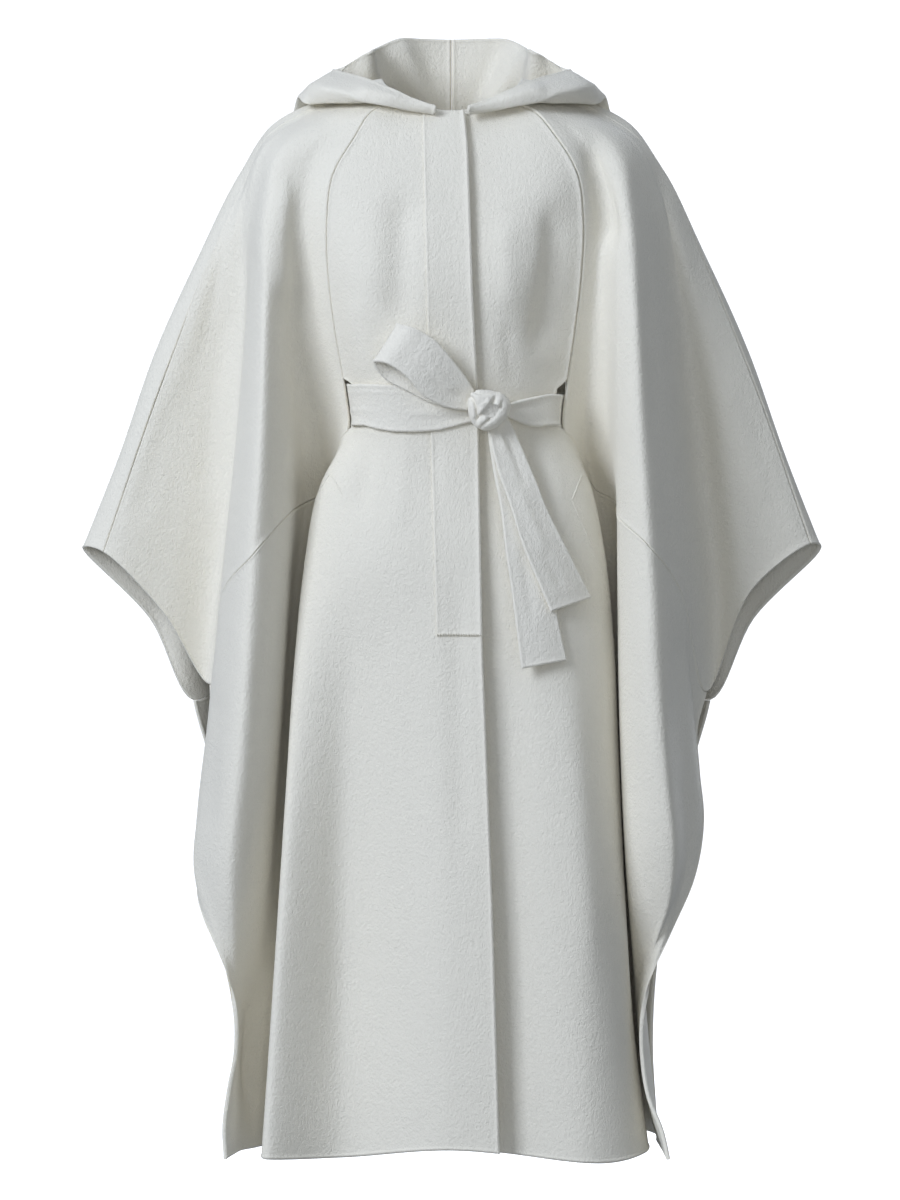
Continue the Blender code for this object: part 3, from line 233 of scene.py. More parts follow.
# Numbers of the fold lines, counted round from the centre front (0) to the centre back (17).
# The wearer's right side counts down from 0 and the left side counts up.
PRINCESS, EDGE, OVERARM, BACK_FREE, BACK_PANEL, BACK_MIDDLE = 2, 8, 10, 13, 15, 17

# Columns of faces between each fold line and the next, and the falls of the rows. The last rows
# of the bodice stand at the ends of the belt's slot.
STEPS = (3, 3, 4, 2, 3, 3, 3, 3, 2, 2, 2, 2, 2, 2, 3, 3, 3)
UPPER_ROWS = np.array([0, 0.05, 0.12, 0.19, 0.26, 0.33, 0.41, 0.5, 0.59, 0.68, 0.77])
UPPER_ROWS = np.append(UPPER_ROWS, [0.85, 0.866, 0.93, 0.994, 1])
LOWER_ROWS = 1 + np.array([0.05, 0.11, 0.17, 0.225, 0.288, 0.37, 0.455, 0.54, 0.625, 0.71])
LOWER_ROWS = np.append(LOWER_ROWS, [1.795, 1.88, 1.945, 2])

# The edge of the right front, which laps over the left one, as (height, x).
CLOSURE_EDGE = [
    (0.0, 0.013), (-0.05, 0.0175), (-0.21, 0.0225), (-0.32, 0.028), (-0.58, 0.0325), (-0.86, 0.043),
    (-1.13, 0.0505),
]

# The left front's edge, and how far the cloth behind the closure is set back, as (height, distance).
# The set-back fades out over a width that starts a little past the closure's edge.
UNDERLAP_X = -0.030
UNDERLAP_DROP = [
    (0.0, 0.005), (-0.1, 0.009), (-0.28, 0.008), (-0.34, 0.006), (-0.6, 0.016), (-1.13, 0.025),
]
UNDERLAP_START, UNDERLAP_FADE = 0.012, 0.090

# The placket's inner edge, as (height, x).
PLACKET_INNER_EDGE = [(0.0, -0.032), (-0.24, -0.0262), (-0.576, -0.0162), (-2.0, -0.0162)]
PLACKET_BOTTOM_FALL = 1.288

# The slot in which the belt passes in: its heights and how far it gapes.
SLOT_TOP, SLOT_BOTTOM, SLOT_OPENING = -0.300, -0.3562, 0.0125

# The hood lies down behind the neck. At each place round the neck: how far it lies along the
# shoulder or back before it rolls over, the height of the roll, and three points of the part that
# stands up behind the roll, the last on its free edge, as (out, depth, height).
HOOD_START = 0.40
HOOD_LAY_SHARES = np.array([0, 0.08, 0.22, 0.42, 0.70, 1.0])
HOOD_RISE_ROWS = 36
HOOD_CLEARANCE, HOOD_OVER_PLACKET, HOOD_MOST_SPRING = 0.0006, 0.0016, 0.006
HOOD_PROFILES = {
    0.4: (0.005, 0.005, (0.0165, -0.085, -0.0115), (0.0168, -0.0865, -0.0085), (0.0172, -0.085, -0.005)),
    1.0: (0.009, 0.008, (0.045, -0.08, -0.0095), (0.0425, -0.083, -0.003), (0.0385, -0.079, 0.003)),
    2.0: (0.017, 0.01, (0.0715, -0.08, -0.005), (0.067, -0.0825, 0.004), (0.057, -0.074, 0.012)),
    3.0: (0.029, 0.012, (0.095, -0.074, 0.0), (0.09, -0.076, 0.01), (0.076, -0.063, 0.021)),
    5.0: (0.043, 0.015, (0.116, -0.064, 0.01), (0.106, -0.056, 0.02), (0.093, -0.042, 0.03)),
    7.0: (0.061, 0.018, (0.139, -0.045, 0.017), (0.128, -0.034, 0.028), (0.112, -0.018, 0.038)),
    9.0: (0.075, 0.02, (0.156, -0.016, 0.024), (0.144, -0.007, 0.035), (0.129, 0.008, 0.046)),
    10.0: (0.08, 0.021, (0.159, -0.002, 0.026), (0.146, 0.012, 0.035), (0.129, 0.022, 0.047)),
    11.0: (0.084, 0.022, (0.16, 0.016, 0.026), (0.14, 0.028, 0.036), (0.12, 0.032, 0.052)),
    12.0: (0.092, 0.026, (0.158, 0.052, 0.02), (0.116, 0.038, 0.036), (0.103, 0.031, 0.062)),
    13.0: (0.102, 0.03, (0.144, 0.093, 0.006), (0.087, 0.042, 0.037), (0.0885, 0.026, 0.07)),
    14.0: (0.118, 0.036, (0.125, 0.142, -0.016), (0.082, 0.102, 0.03), (0.09, 0.094, 0.079)),
    15.0: (0.142, 0.042, (0.092, 0.174, -0.048), (0.06, 0.126, 0.028), (0.063, 0.124, 0.095)),
    16.0: (0.166, 0.048, (0.05, 0.196, -0.076), (0.032, 0.138, 0.024), (0.031, 0.138, 0.097)),
    17.0: (0.176, 0.05, (0.0, 0.202, -0.086), (0.0, 0.142, 0.022), (0.0, 0.142, 0.0965)),
}

# The belt on the front, as (x, top, bottom) from under the knot to the slot, and then its way in
# through the slot, as (distance past the seam, stand-off from the cloth's outer face).
BELT_HEIGHT, BELT_WIDTH, BELT_THICKNESS, BELT_STAND_OFF = -0.331, 0.046, 0.0028, 0.0042
BELT_STRETCHES = {
    -1: [
        (0.03, -0.329, -0.35), (0.017, -0.33, -0.3495), (0.002, -0.326, -0.354),
        (-0.013, -0.3207, -0.358), (-0.03, -0.314, -0.3592), (-0.048, -0.31, -0.3597),
        (-0.064, -0.308, -0.359), (-0.08, -0.307, -0.356), (-0.092, -0.306, -0.352),
    ],
    1: [
        (0.045, -0.329, -0.343), (0.057, -0.329, -0.343), (0.071, -0.3239, -0.3496),
        (0.083, -0.321, -0.3535), (0.093, -0.3185, -0.354), (0.1, -0.317, -0.352),
    ],
}
SLOT_PASSAGE = [(-0.015, 0.0056), (-0.006, -0.0016), (0.0025, -0.008), (0.012, -0.0084)]
BELT_AROUND_BACK = [
    (-0.134, 0.0), (-0.118, 0.06), (-0.07, 0.104), (0.0, 0.12), (0.07, 0.104), (0.118, 0.06),
    (0.134, 0.0),
]

# Bands on the front: x and height of one edge, stand-off, x and height of the other edge.
BELT_LOOP = [
    (0.0234, -0.3149, 0.0104, 0.0159, -0.3362), (0.0149, -0.3001, 0.015, -0.0021, -0.334),
    (-0.0021, -0.2788, 0.022, -0.0255, -0.3224), (-0.0255, -0.2565, 0.026, -0.0499, -0.2947),
    (-0.0467, -0.2459, 0.023, -0.0701, -0.2831), (-0.0552, -0.2438, 0.0165, -0.0775, -0.2841),
    (-0.051, -0.2491, 0.01, -0.0733, -0.2958), (-0.0287, -0.265, 0.0078, -0.0435, -0.317),
    (-0.0021, -0.2862, 0.0074, -0.0127, -0.3319), (0.0191, -0.3138, 0.0072, 0.0159, -0.3372),
]
TAIL_UPPER = [
    (0.037, -0.349, 0.0106, 0.053, -0.337), (0.0385, -0.364, 0.0108, 0.059, -0.35),
    (0.0457, -0.4012, 0.013, 0.0733, -0.3853), (0.0595, -0.4415, 0.013, 0.086, -0.4161),
    (0.0722, -0.4807, 0.011, 0.0966, -0.4435), (0.0881, -0.5189, 0.009, 0.12, -0.4903),
    (0.102, -0.5528, 0.0085, 0.1434, -0.5379),
]
TAIL_LOWER = [
    (0.035, -0.344, 0.0074, 0.05, -0.337), (0.0372, -0.3629, 0.0074, 0.053, -0.3534),
    (0.0425, -0.4012, 0.0078, 0.0669, -0.3906), (0.051, -0.4436, 0.0066, 0.0881, -0.433),
    (0.0563, -0.4861, 0.005, 0.0988, -0.4808), (0.0627, -0.5285, 0.0042, 0.1052, -0.5232),
    (0.068, -0.5709, 0.0042, 0.1116, -0.5646), (0.0733, -0.6123, 0.0042, 0.1201, -0.6038),
]

# The knot: its centre on the front (x, height), its outline as (degrees, radius), its rings as
# (stand-off, share of the outline), and how many points lie round it and across it.
KNOT_CENTRE = (0.036, -0.335)
KNOT_OUTLINE = [
    (0, 0.019), (20, 0.021), (45, 0.0225), (100, 0.0225), (125, 0.025), (160, 0.021), (200, 0.02),
]
KNOT_OUTLINE += [(230, 0.0225), (260, 0.0245), (285, 0.022), (320, 0.018)]
KNOT_RINGS = [(0.013, 0.84), (0.0145, 0.95), (0.0175, 1.0), (0.0215, 1.0), (0.0255, 0.92), (0.029, 0.72)]
KNOT_RINGS += [(0.0305, 0.40)]
KNOT_SIDES, KNOT_TURNS = 168, 60

# Steps of the fine cloth for each of the solids' own, across and down, and lines across the belt.
ACROSS, DOWN, BELT_LINES = 5, 5, 25

# Distances from an edge at which the fine cloth has a line of points.
RIM_LINES = np.array([0.12, 0.4, 0.85, 1.5, 2.2, 3.0, 4.0, 5.4]) / 1000

# The kinds of edge: rounding radius, then height, distance and width of the raised line beside it.
SEAM, HEM, PRESSED, BELT_EDGE, CORD, HOOD_SEAM = range(6)
EDGE_KINDS = np.array([
    (0.001, 0.0006, 0.0021, 0.0012), (0.0015, 0.001, 0.0023, 0.0013), (0.0006, 0.0005, 0.0018, 0.0012),
    (0.0014, 0.0011, 0.0021, 0.0013), (0.0016, 0.0014, 0.0027, 0.0016), (0.0014, 0.0022, 0.0026, 0.0018),
])
BACK_RIDGE_SHARE = 0.6

# Over what heights the slot closes at its top and its bottom.
SLOT_ENDS = {-1: (0.006, 0.0045), 1: (0.013, 0.006)}

# Creases: a line of (x, height), its lift off the cloth, and its widths on either side.
FRONT_CREASES = {
    -1: [
        ([(-0.052, -0.09), (-0.054, -0.16), (-0.058, -0.262)], -0.007, 0.017, 0.02),
        ([(-0.104, -0.21), (-0.1, -0.262), (-0.096, -0.312)], 0.0022, 0.009, 0.012),
        ([(-0.078, -0.236), (-0.076, -0.28), (-0.078, -0.318)], -0.0016, 0.007, 0.009),
        ([(-0.03, -0.252), (-0.034, -0.286), (-0.036, -0.316)], -0.0012, 0.008, 0.006),
        ([(-0.084, -0.352), (-0.09, -0.395), (-0.1, -0.452)], -0.0022, 0.009, 0.012),
        ([(-0.05, -0.352), (-0.052, -0.4), (-0.058, -0.47)], 0.0016, 0.01, 0.013),
        ([(-0.018, -0.356), (-0.02, -0.4), (-0.018, -0.44)], -0.0012, 0.008, 0.007),
        ([(-0.112, -0.52), (-0.118, -0.7), (-0.12, -0.9), (-0.122, -1.1)], -0.003, 0.016, 0.018),
        ([(-0.072, -0.56), (-0.07, -0.76), (-0.066, -1.0)], 0.0016, 0.026, 0.02),
        ([(0.008, -0.48), (0.006, -0.64), (0.012, -0.84)], -0.0026, 0.016, 0.015),
        ([(-0.214, -0.56), (-0.219, -0.68), (-0.222, -0.78)], 0.0018, 0.008, 0.01),
        ([(-0.25, -0.62), (-0.258, -0.72), (-0.262, -0.8)], -0.002, 0.012, 0.01),
    ],
    1: [
        ([(0.106, -0.104), (0.11, -0.16), (0.103, -0.22), (0.092, -0.284)], -0.009, 0.018, 0.012),
        ([(0.058, -0.12), (0.06, -0.18), (0.064, -0.24)], 0.0026, 0.016, 0.017),
        ([(0.06, -0.242), (0.064, -0.28), (0.07, -0.312)], -0.002, 0.008, 0.007),
        ([(0.078, -0.362), (0.086, -0.4), (0.092, -0.45)], -0.002, 0.009, 0.008),
        ([(0.104, -0.36), (0.112, -0.41), (0.12, -0.47)], 0.0018, 0.009, 0.01),
        ([(0.062, -0.52), (0.066, -0.7), (0.07, -0.9), (0.072, -1.09)], -0.003, 0.018, 0.016),
        ([(0.128, -0.6), (0.138, -0.76), (0.15, -0.96)], 0.003, 0.014, 0.016),
        ([(0.206, -0.54), (0.21, -0.64), (0.216, -0.74)], 0.0018, 0.009, 0.009),
        ([(0.244, -0.56), (0.242, -0.65), (0.24, -0.72)], -0.0018, 0.01, 0.011),
    ],
}
SLEEVE_CREASES = {
    ("sleeve_front", -1): [
        ([(-0.176, -0.075), (-0.184, -0.14), (-0.183, -0.225)], 0.0066, 0.012, 0.012),
        ([(-0.228, -0.06), (-0.262, -0.15), (-0.288, -0.28)], 0.0026, 0.014, 0.012),
        ([(-0.24, -0.2), (-0.262, -0.32), (-0.27, -0.45)], -0.003, 0.014, 0.016),
        ([(-0.3, -0.3), (-0.33, -0.4), (-0.352, -0.47)], -0.0024, 0.014, 0.012),
        ([(-0.166, -0.28), (-0.17, -0.34), (-0.176, -0.42)], 0.0022, 0.008, 0.007),
    ],
    ("sleeve_front", 1): [
        ([(0.226, -0.07), (0.246, -0.15), (0.262, -0.25)], 0.0024, 0.012, 0.013),
        ([(0.25, -0.24), (0.266, -0.34), (0.276, -0.44)], -0.0032, 0.015, 0.014),
        ([(0.296, -0.28), (0.32, -0.37), (0.346, -0.45)], 0.0024, 0.012, 0.014),
        ([(0.208, -0.18), (0.214, -0.28), (0.222, -0.38)], -0.0016, 0.009, 0.009),
        ([(0.146, -0.03), (0.163, -0.095), (0.17, -0.17)], -0.0105, 0.012, 0.011),
    ],
    ("sleeve_back", -1): [
        ([(-0.16, -0.06), (-0.19, -0.17), (-0.206, -0.33)], 0.0036, 0.018, 0.016),
        ([(-0.22, -0.11), (-0.262, -0.24), (-0.284, -0.38)], -0.0038, 0.018, 0.014),
        ([(-0.29, -0.26), (-0.32, -0.35), (-0.35, -0.44)], 0.0026, 0.014, 0.016),
        ([(-0.15, -0.25), (-0.17, -0.4), (-0.186, -0.56)], -0.003, 0.016, 0.018),
    ],
    ("sleeve_back", 1): [
        ([(0.154, -0.07), (0.18, -0.19), (0.2, -0.3)], -0.0034, 0.016, 0.018),
        ([(0.21, -0.09), (0.244, -0.22), (0.272, -0.39)], 0.004, 0.017, 0.015),
        ([(0.284, -0.23), (0.318, -0.34), (0.336, -0.42)], -0.0026, 0.015, 0.013),
        ([(0.156, -0.3), (0.176, -0.44), (0.196, -0.58)], 0.0028, 0.015, 0.018),
    ],
}
BACK_CREASES = [
    ([(-0.04, -0.25), (-0.056, -0.48), (-0.05, -0.76), (-0.064, -1.06)], 0.005, 0.02, 0.026),
    ([(0.03, -0.3), (0.046, -0.52), (0.062, -0.8), (0.058, -1.04)], -0.0048, 0.022, 0.02),
    ([(0.1, -0.22), (0.112, -0.43), (0.124, -0.7), (0.118, -0.96)], 0.0044, 0.022, 0.018),
    ([(-0.112, -0.24), (-0.12, -0.46), (-0.134, -0.72), (-0.15, -1.0)], -0.0042, 0.02, 0.024),
    ([(0.004, -0.56), (-0.004, -0.8), (0.006, -1.08)], 0.0028, 0.018, 0.02),
    ([(-0.206, -0.62), (-0.214, -0.76), (-0.2, -0.92)], 0.0036, 0.018, 0.016),
    ([(0.196, -0.6), (0.206, -0.72), (0.196, -0.88)], -0.0034, 0.016, 0.018),
    ([(-0.02, -0.2), (-0.01, -0.29), (-0.016, -0.38)], -0.0022, 0.014, 0.012),
]

# Folds of the hood's standing part, which fan out from the neck; a lift below 0 is towards the viewer.
HOOD_CREASES = {
    -1: [([(-0.07, 0.108), (-0.05, 0.065), (-0.03, 0.02), (-0.016, -0.01)], -0.011, 0.013, 0.016)],
    1: [
        ([(0.1, 0.088), (0.08, 0.058), (0.056, 0.028), (0.03, 0.0)], -0.011, 0.009, 0.012),
        ([(0.058, 0.11), (0.044, 0.06), (0.03, 0.015), (0.022, -0.02)], 0.005, 0.011, 0.01),
        ([(0.08, 0.1), (0.06, 0.062), (0.04, 0.028), (0.03, 0.0)], -0.006, 0.006, 0.009),
    ],
}

# Creases of the belt: its stretches and tails gather towards the knot.
BELT_CREASES = {
    "belt_front_right": [
        ([(-0.12, -0.3165), (-0.08, -0.316), (-0.04, -0.319), (-0.004, -0.327)], -0.0007, 0.0012, 0.0016),
        ([(0.026, -0.3385), (0.006, -0.337), (-0.02, -0.339), (-0.046, -0.342)], -0.0016, 0.004, 0.003),
        ([(0.026, -0.342), (0.004, -0.345), (-0.014, -0.348)], 0.001, 0.0024, 0.0028),
        ([(0.026, -0.334), (0.004, -0.332), (-0.016, -0.33)], -0.0012, 0.0028, 0.003),
        ([(-0.118, -0.334), (-0.104, -0.335), (-0.09, -0.335)], -0.001, 0.0026, 0.0026),
    ],
    "belt_front_left": [
        ([(0.046, -0.338), (0.064, -0.335), (0.084, -0.331), (0.096, -0.33)], -0.0016, 0.0034, 0.0026),
        ([(0.046, -0.34), (0.062, -0.342), (0.08, -0.345)], -0.0011, 0.0022, 0.0026),
        ([(0.05, -0.333), (0.066, -0.329), (0.08, -0.325)], 0.0009, 0.0022, 0.0022),
    ],
    "belt_tail_upper": [
        ([(0.043, -0.346), (0.05, -0.362), (0.06, -0.384)], -0.002, 0.003, 0.0036),
        ([(0.05, -0.344), (0.06, -0.366), (0.072, -0.4), (0.08, -0.424)], 0.0014, 0.004, 0.0034),
        ([(0.07, -0.42), (0.084, -0.452), (0.102, -0.492)], -0.0012, 0.005, 0.006),
        ([(0.094, -0.486), (0.108, -0.51), (0.118, -0.53)], 0.001, 0.005, 0.004),
    ],
    "belt_tail_lower": [
        ([(0.041, -0.356), (0.047, -0.39), (0.056, -0.43)], -0.001, 0.0034, 0.003),
        ([(0.074, -0.47), (0.08, -0.52), (0.086, -0.57)], 0.0012, 0.006, 0.006),
    ],
    "belt_loop": [
        ([(0.01, -0.32), (-0.008, -0.306), (-0.026, -0.286)], -0.0014, 0.0034, 0.004),
        ([(0.012, -0.326), (-0.006, -0.318), (-0.024, -0.302)], 0.0012, 0.003, 0.0034),
    ],
}
KNOT_CREASES = [
    ([(0.02, -0.35), (0.03, -0.344), (0.039, -0.335), (0.046, -0.324), (0.048, -0.316)],
     -0.0032, 0.002, 0.0026),
    ([(0.027, -0.359), (0.037, -0.35), (0.046, -0.342), (0.053, -0.331), (0.056, -0.324)],
     -0.0026, 0.0016, 0.0022),
    ([(0.013, -0.318), (0.0215, -0.326), (0.0255, -0.335), (0.0262, -0.344), (0.025, -0.356)],
     -0.003, 0.0024, 0.0016),
    ([(0.016, -0.312), (0.026, -0.318), (0.038, -0.319), (0.052, -0.317)], -0.002, 0.0024, 0.0018),
    ([(0.028, -0.342), (0.036, -0.332), (0.042, -0.324)], 0.0018, 0.0034, 0.003),
    ([(0.036, -0.346), (0.046, -0.337), (0.052, -0.328)], 0.0016, 0.0026, 0.0024),
]

# The welts of the pocket mouths, as lines of (x, height) on each front.
POCKET_WELTS = {
    -1: [[(-0.118, -0.425), (-0.126, -0.411), (-0.1314, -0.4023)]],
    1: [[(0.141, -0.4023), (0.135, -0.417), (0.1292, -0.4322)]],
}
POCKET_WELTS[-1] += [[(-0.1314, -0.4023), (-0.1485, -0.4322), (-0.1549, -0.461), (-0.1591, -0.505)]]
POCKET_WELTS[1] += [[(0.1292, -0.4322), (0.1455, -0.470), (0.1602, -0.5048), (0.1720, -0.545)]]
WELT_WIDTH, WELT_HEIGHT = 0.0016, 0.0005

# Between which places round the front the welts are looked for, and how often that span is halved.
WELT_PLACES, WELT_HALVINGS = (0.8, 2.1), 14

# The hand stitches over the placket's lower end, each as (height, stand-off) along its thread.
STITCH_PATH = [
    (0.0019, 0.0014), (0.0012, 0.0023), (0.0002, 0.0023), (-0.0008, 0.0013), (-0.0015, 0.0001),
]
STITCH_SPACING, STITCH_WIDTH, STITCH_LEAN = 0.0027, 0.0012, 0.0003

# How far the row of stitches stays off the placket's inner edge and off the closure's edge.
STITCH_MARGINS = (0.001, 0.004)

# The thickness of a thread's ends, as a share of its middle, and the corners of its section.
THREAD_END, THREAD_SIDES = 0.35, 8

# The wool and the light, set against the photo.
WOOL_COLOUR = (0.89, 0.848, 0.730)
BELT_COLOUR = (0.895, 0.855, 0.745)

# The white sweep that the garment stands before, as (radius, height).
FLOOR = -1.48
BACKDROP_RINGS = [(0.0, FLOOR), (7.0, FLOOR), (9.0, FLOOR + 0.25), (10.4, FLOOR + 1.3)]
BACKDROP_RINGS += [(11.0, FLOOR + 3.0), (11.0, 6.0), (9.0, 9.0), (5.0, 11.0), (0.0, 11.6)]
CAMERA_X, CAMERA_DISTANCE, CAMERA_HEIGHT, VIEW_HEIGHT = -0.002, 4.5, -0.539, 1.32
WORLD_COLOUR, WORLD_STRENGTH = (0.865, 0.945, 1.08, 1), 0.24

# Lights: name, place, target, size, power, colour.
LIGHTS = [
    ("key", (-3.0, -3.0, 1.5), (0, 0, -0.5), (1.8, 2.2), 136, (0.885, 0.955, 1.11)),
    ("fill", (2.4, -3.6, -0.2), (0, 0, -0.6), (2.0, 2.4), 6, (0.9, 0.97, 1.06)),
    ("front", (0.1, -4.6, -0.3), (0, 0, -0.6), (0.8, 1.4), 18, (0.95, 0.97, 1.02)),
    ("top", (-0.2, -0.9, 3.0), (0, 0, 0), (2.2, 2.2), 14, (0.9, 0.97, 1.1)),
    ("back", (1.5, 3.8, 0.6), (0, 0, -0.5), (2.4, 2.4), 88, (0.93, 0.97, 1.05)),
]


# About the x between two fold lines in front, and the step round in which the skin's x is measured.
PLACE_WIDTH, PLACE_STEP = 0.07, 0.05


def spline_slopes(points, knots):
    """Slopes of a smooth curve through points[i] at knots[i]."""
    steps = np.diff(knots)[:, None]
    chords = np.diff(points, axis=0) / steps
    inner = (chords[:-1] * steps[1:] + chords[1:] * steps[:-1]) / (steps[:-1] + steps[1:])
    return np.vstack([chords[:1], inner, chords[-1:]])


def hermite(p, q, p_slope, q_slope, t):
    """A point between p (t = 0) and q (t = 1) on the curve that leaves them with these slopes."""
    return (
        (2 * t**3 - 3 * t**2 + 1) * p
        + (t**3 - 2 * t**2 + t) * p_slope
        + (3 * t**2 - 2 * t**3) * q
        + (t**3 - t**2) * q_slope
    )


def spline(points, knots, at):
    """Points of the smooth curve through points[i] at knots[i], read at the values in at."""
    points, knots, at = (np.asarray(a, float) for a in (points, knots, at))
    slopes = spline_slopes(points, knots)
    i = np.clip(np.searchsorted(knots, at, side="right") - 1, 0, len(knots) - 2)
    length = (knots[i + 1] - knots[i])[..., None]
    t = ((at - knots[i]) / (knots[i + 1] - knots[i]))[..., None]
    return hermite(points[i], points[i + 1], slopes[i] * length, slopes[i + 1] * length, t)


def path_lengths(points):
    """Length along a row of points, from its first point to each of its points."""
    return np.concatenate([[0], np.cumsum(np.linalg.norm(np.diff(points, axis=0), axis=1))])


def table_value(table, height):
    """Reads a table of (height, value), straight between its rows."""
    heights, values = np.array(sorted(table)).T
    return np.interp(height, heights, values)


def fold_lines(side):
    """The fold lines of one side, from the centre front to the centre back."""
    folds = LEFT_FOLDS if side > 0 else RIGHT_FOLDS
    return [
        CENTRE_FRONT,
        *(folds[name] for name in FOLD_ORDER),
        CREST,
        BACK_FAN,
        BACK_EDGE,
        BACK_RIDGE,
        BACK_SEAM,
        BACK_BLADE,
        CENTRE_BACK,
    ]


FOLD_LINES = {side: fold_lines(side) for side in (-1, 1)}


def line_points(side, place, fall):
    """Points of a fold line. fall is 0 at the neckline, 1 at the sleeve's end and 2 at the hem."""
    seam, stations = FOLD_LINES[side][place]
    stations = np.array(stations) * (side, 1, 1)
    along = path_lengths(stations)
    along[seam:] = along[seam] + stations[seam, 2] - stations[seam:, 2]
    at_seam, at_end = along[seam], along[-1]
    at = np.where(fall <= 1, fall * at_seam, at_seam + (fall - 1) * (at_end - at_seam))
    return spline(stations, along, at)


def ring_points(number, fall):
    """Points of the fold line with this number, counted round the ring past the centre back.

    Below the sleeve the lines of the arm have no cloth: there the ring goes on past the free edge.
    """
    around = (number + BACK_MIDDLE) % (2 * BACK_MIDDLE) - BACK_MIDDLE
    side, place = (1, around) if around >= 0 else (-1, -around)
    if not EDGE < place < BACK_FREE:
        return line_points(side, place, fall)
    sleeve_fall = np.minimum(fall, 1)
    above = line_points(side, place, sleeve_fall)
    free, neighbour = (EDGE, EDGE - 1) if place <= OVERARM else (BACK_FREE, BACK_FREE + 1)
    step = above - line_points(side, free, sleeve_fall)
    edge = line_points(side, free, fall)
    onward = edge - line_points(side, neighbour, fall)
    share = np.clip((fall - 1) / 0.15, 0, 1)[:, None]
    return np.where(fall[:, None] <= 1, above, edge + step * (1 - share) + onward * share)


def skin(around, fall):
    """Points on the cloth's outer face. around counts fold lines and may lie between them."""
    around, fall = np.broadcast_arrays(np.asarray(around, float), np.asarray(fall, float))
    points = np.zeros(around.shape + (3,))
    base = np.floor(around + 1e-9).astype(int)
    for number in np.unique(base):
        chosen = base == number
        a, p, q, b = (ring_points(number + shift, fall[chosen]) for shift in (-1, 0, 1, 2))
        ap, pq, qb = (
            np.sqrt(np.maximum(np.linalg.norm(end - start, axis=1), 1e-5))[:, None]
            for start, end in ((a, p), (p, q), (q, b))
        )
        p_slope = (p - a) / ap - (q - a) / (ap + pq) + (q - p) / pq
        q_slope = (q - p) / pq - (b - p) / (pq + qb) + (b - q) / qb
        t = (around[chosen] - number)[:, None]
        points[chosen] = hermite(p, q, p_slope * pq, q_slope * pq, t)
    return points


def skin_normals(around, fall):
    """Unit normals of the skin, pointing out of the garment."""
    step = 0.02
    across = skin(around + step, fall) - skin(around - step, fall)
    down = skin(around, np.minimum(fall + step, 2)) - skin(around, np.maximum(fall - step, 0))
    normals = np.cross(down, across)
    return normals / np.linalg.norm(normals, axis=-1, keepdims=True)


def grid_normals(points):
    """Unit normals of a grid of points, on the side that its rows and columns turn towards."""
    faces = np.cross(points[1:, 1:] - points[:-1, :-1], points[:-1, 1:] - points[1:, :-1])
    faces /= np.linalg.norm(faces, axis=-1, keepdims=True)
    faces = np.pad(faces, ((1, 1), (1, 1), (0, 0)), mode="edge")
    normals = faces[1:, 1:] + faces[:-1, 1:] + faces[1:, :-1] + faces[:-1, :-1]
    return normals / np.linalg.norm(normals, axis=-1, keepdims=True)


def fall_at(around, height, halvings=26):
    """The falls at which the skin passes these heights, found by halving the whole fall."""
    low, high = np.zeros(around.shape), np.full(around.shape, 2.0)
    for _ in range(halvings):
        middle = (low + high) / 2
        above = skin(around, middle)[..., 2] > height
        low, high = np.where(above, middle, low), np.where(above, high, middle)
    return low


def front_places(x, height):
    """(around, fall) of the front's points at these x and heights."""
    around = x / PLACE_WIDTH
    for _ in range(6):
        fall = fall_at(around, height)
        x_here, x_next = skin(around, fall)[..., 0], skin(around + PLACE_STEP, fall)[..., 0]
        around = np.clip(around + (x - x_here) / (x_next - x_here) * PLACE_STEP, -2.6, 2.6)
    return around, fall_at(around, height)


def places_on_rows(falls, table):
    """The place round the front where each row of the cloth meets a line of (height, x)."""
    around = np.full(len(falls), table[0][1] / PLACE_WIDTH)
    for _ in range(8):
        here, ahead = skin(around, falls), skin(around + PLACE_STEP, falls)
        miss, miss_ahead = (p[:, 0] - table_value(table, p[:, 2]) for p in (here, ahead))
        around = around - miss / (miss_ahead - miss) * PLACE_STEP
    return around


def places_between(first, last):
    """Places round the garment from one fold line to another, STEPS of them between each two lines."""
    places = [np.linspace(n, n + 1, STEPS[n] + 1)[:-1] for n in range(first, last)]
    return np.concatenate([*places, [last]])


def pull_in(points, border, neighbour, distance):
    """Moves one border of a grid towards the grid's next line, by a distance along the cloth."""
    step = points[neighbour] - points[border]
    points[border] += step / np.linalg.norm(step, axis=-1, keepdims=True) * distance


def finer(values, count):
    """The values, with count steps from each to the next."""
    values = np.asarray(values, float)
    steps = np.linspace(0, 1, count + 1)[:-1]
    return np.append((values[:-1, None] + np.diff(values)[:, None] * steps).ravel(), values[-1])


def with_rim_lines(grid, line, step):
    """The grid with columns added close to one of its columns, on the side that step points to."""
    here, beside = grid[:, line], grid[:, line + step]
    width = np.linalg.norm(beside[:, :3] - here[:, :3], axis=1)
    shares = RIM_LINES * np.minimum(1, 0.9 * width / RIM_LINES[-1])[:, None] / width[:, None]
    added = here[:, None] + (beside - here)[:, None] * shares[..., None]
    at = line + 1 if step > 0 else line
    return np.concatenate([grid[:, :at], added[:, ::step], grid[:, at:]], axis=1)


def rimmed(grid, rows, columns):
    """The grid with lines added beside its edges, each named as (line, step), the last edge first."""
    for line, step in columns:
        grid = with_rim_lines(grid, line, step)
    grid = grid.swapaxes(0, 1)
    for line, step in rows:
        grid = with_rim_lines(grid, line, step)
    return grid.swapaxes(0, 1)


def rimmed_all_round(grid):
    """The grid with lines added beside all its four edges."""
    last_row, last_column = grid.shape[0] - 1, grid.shape[1] - 1
    return rimmed(grid, rows=[(last_row, -1), (0, 1)], columns=[(last_column, -1), (0, 1)])


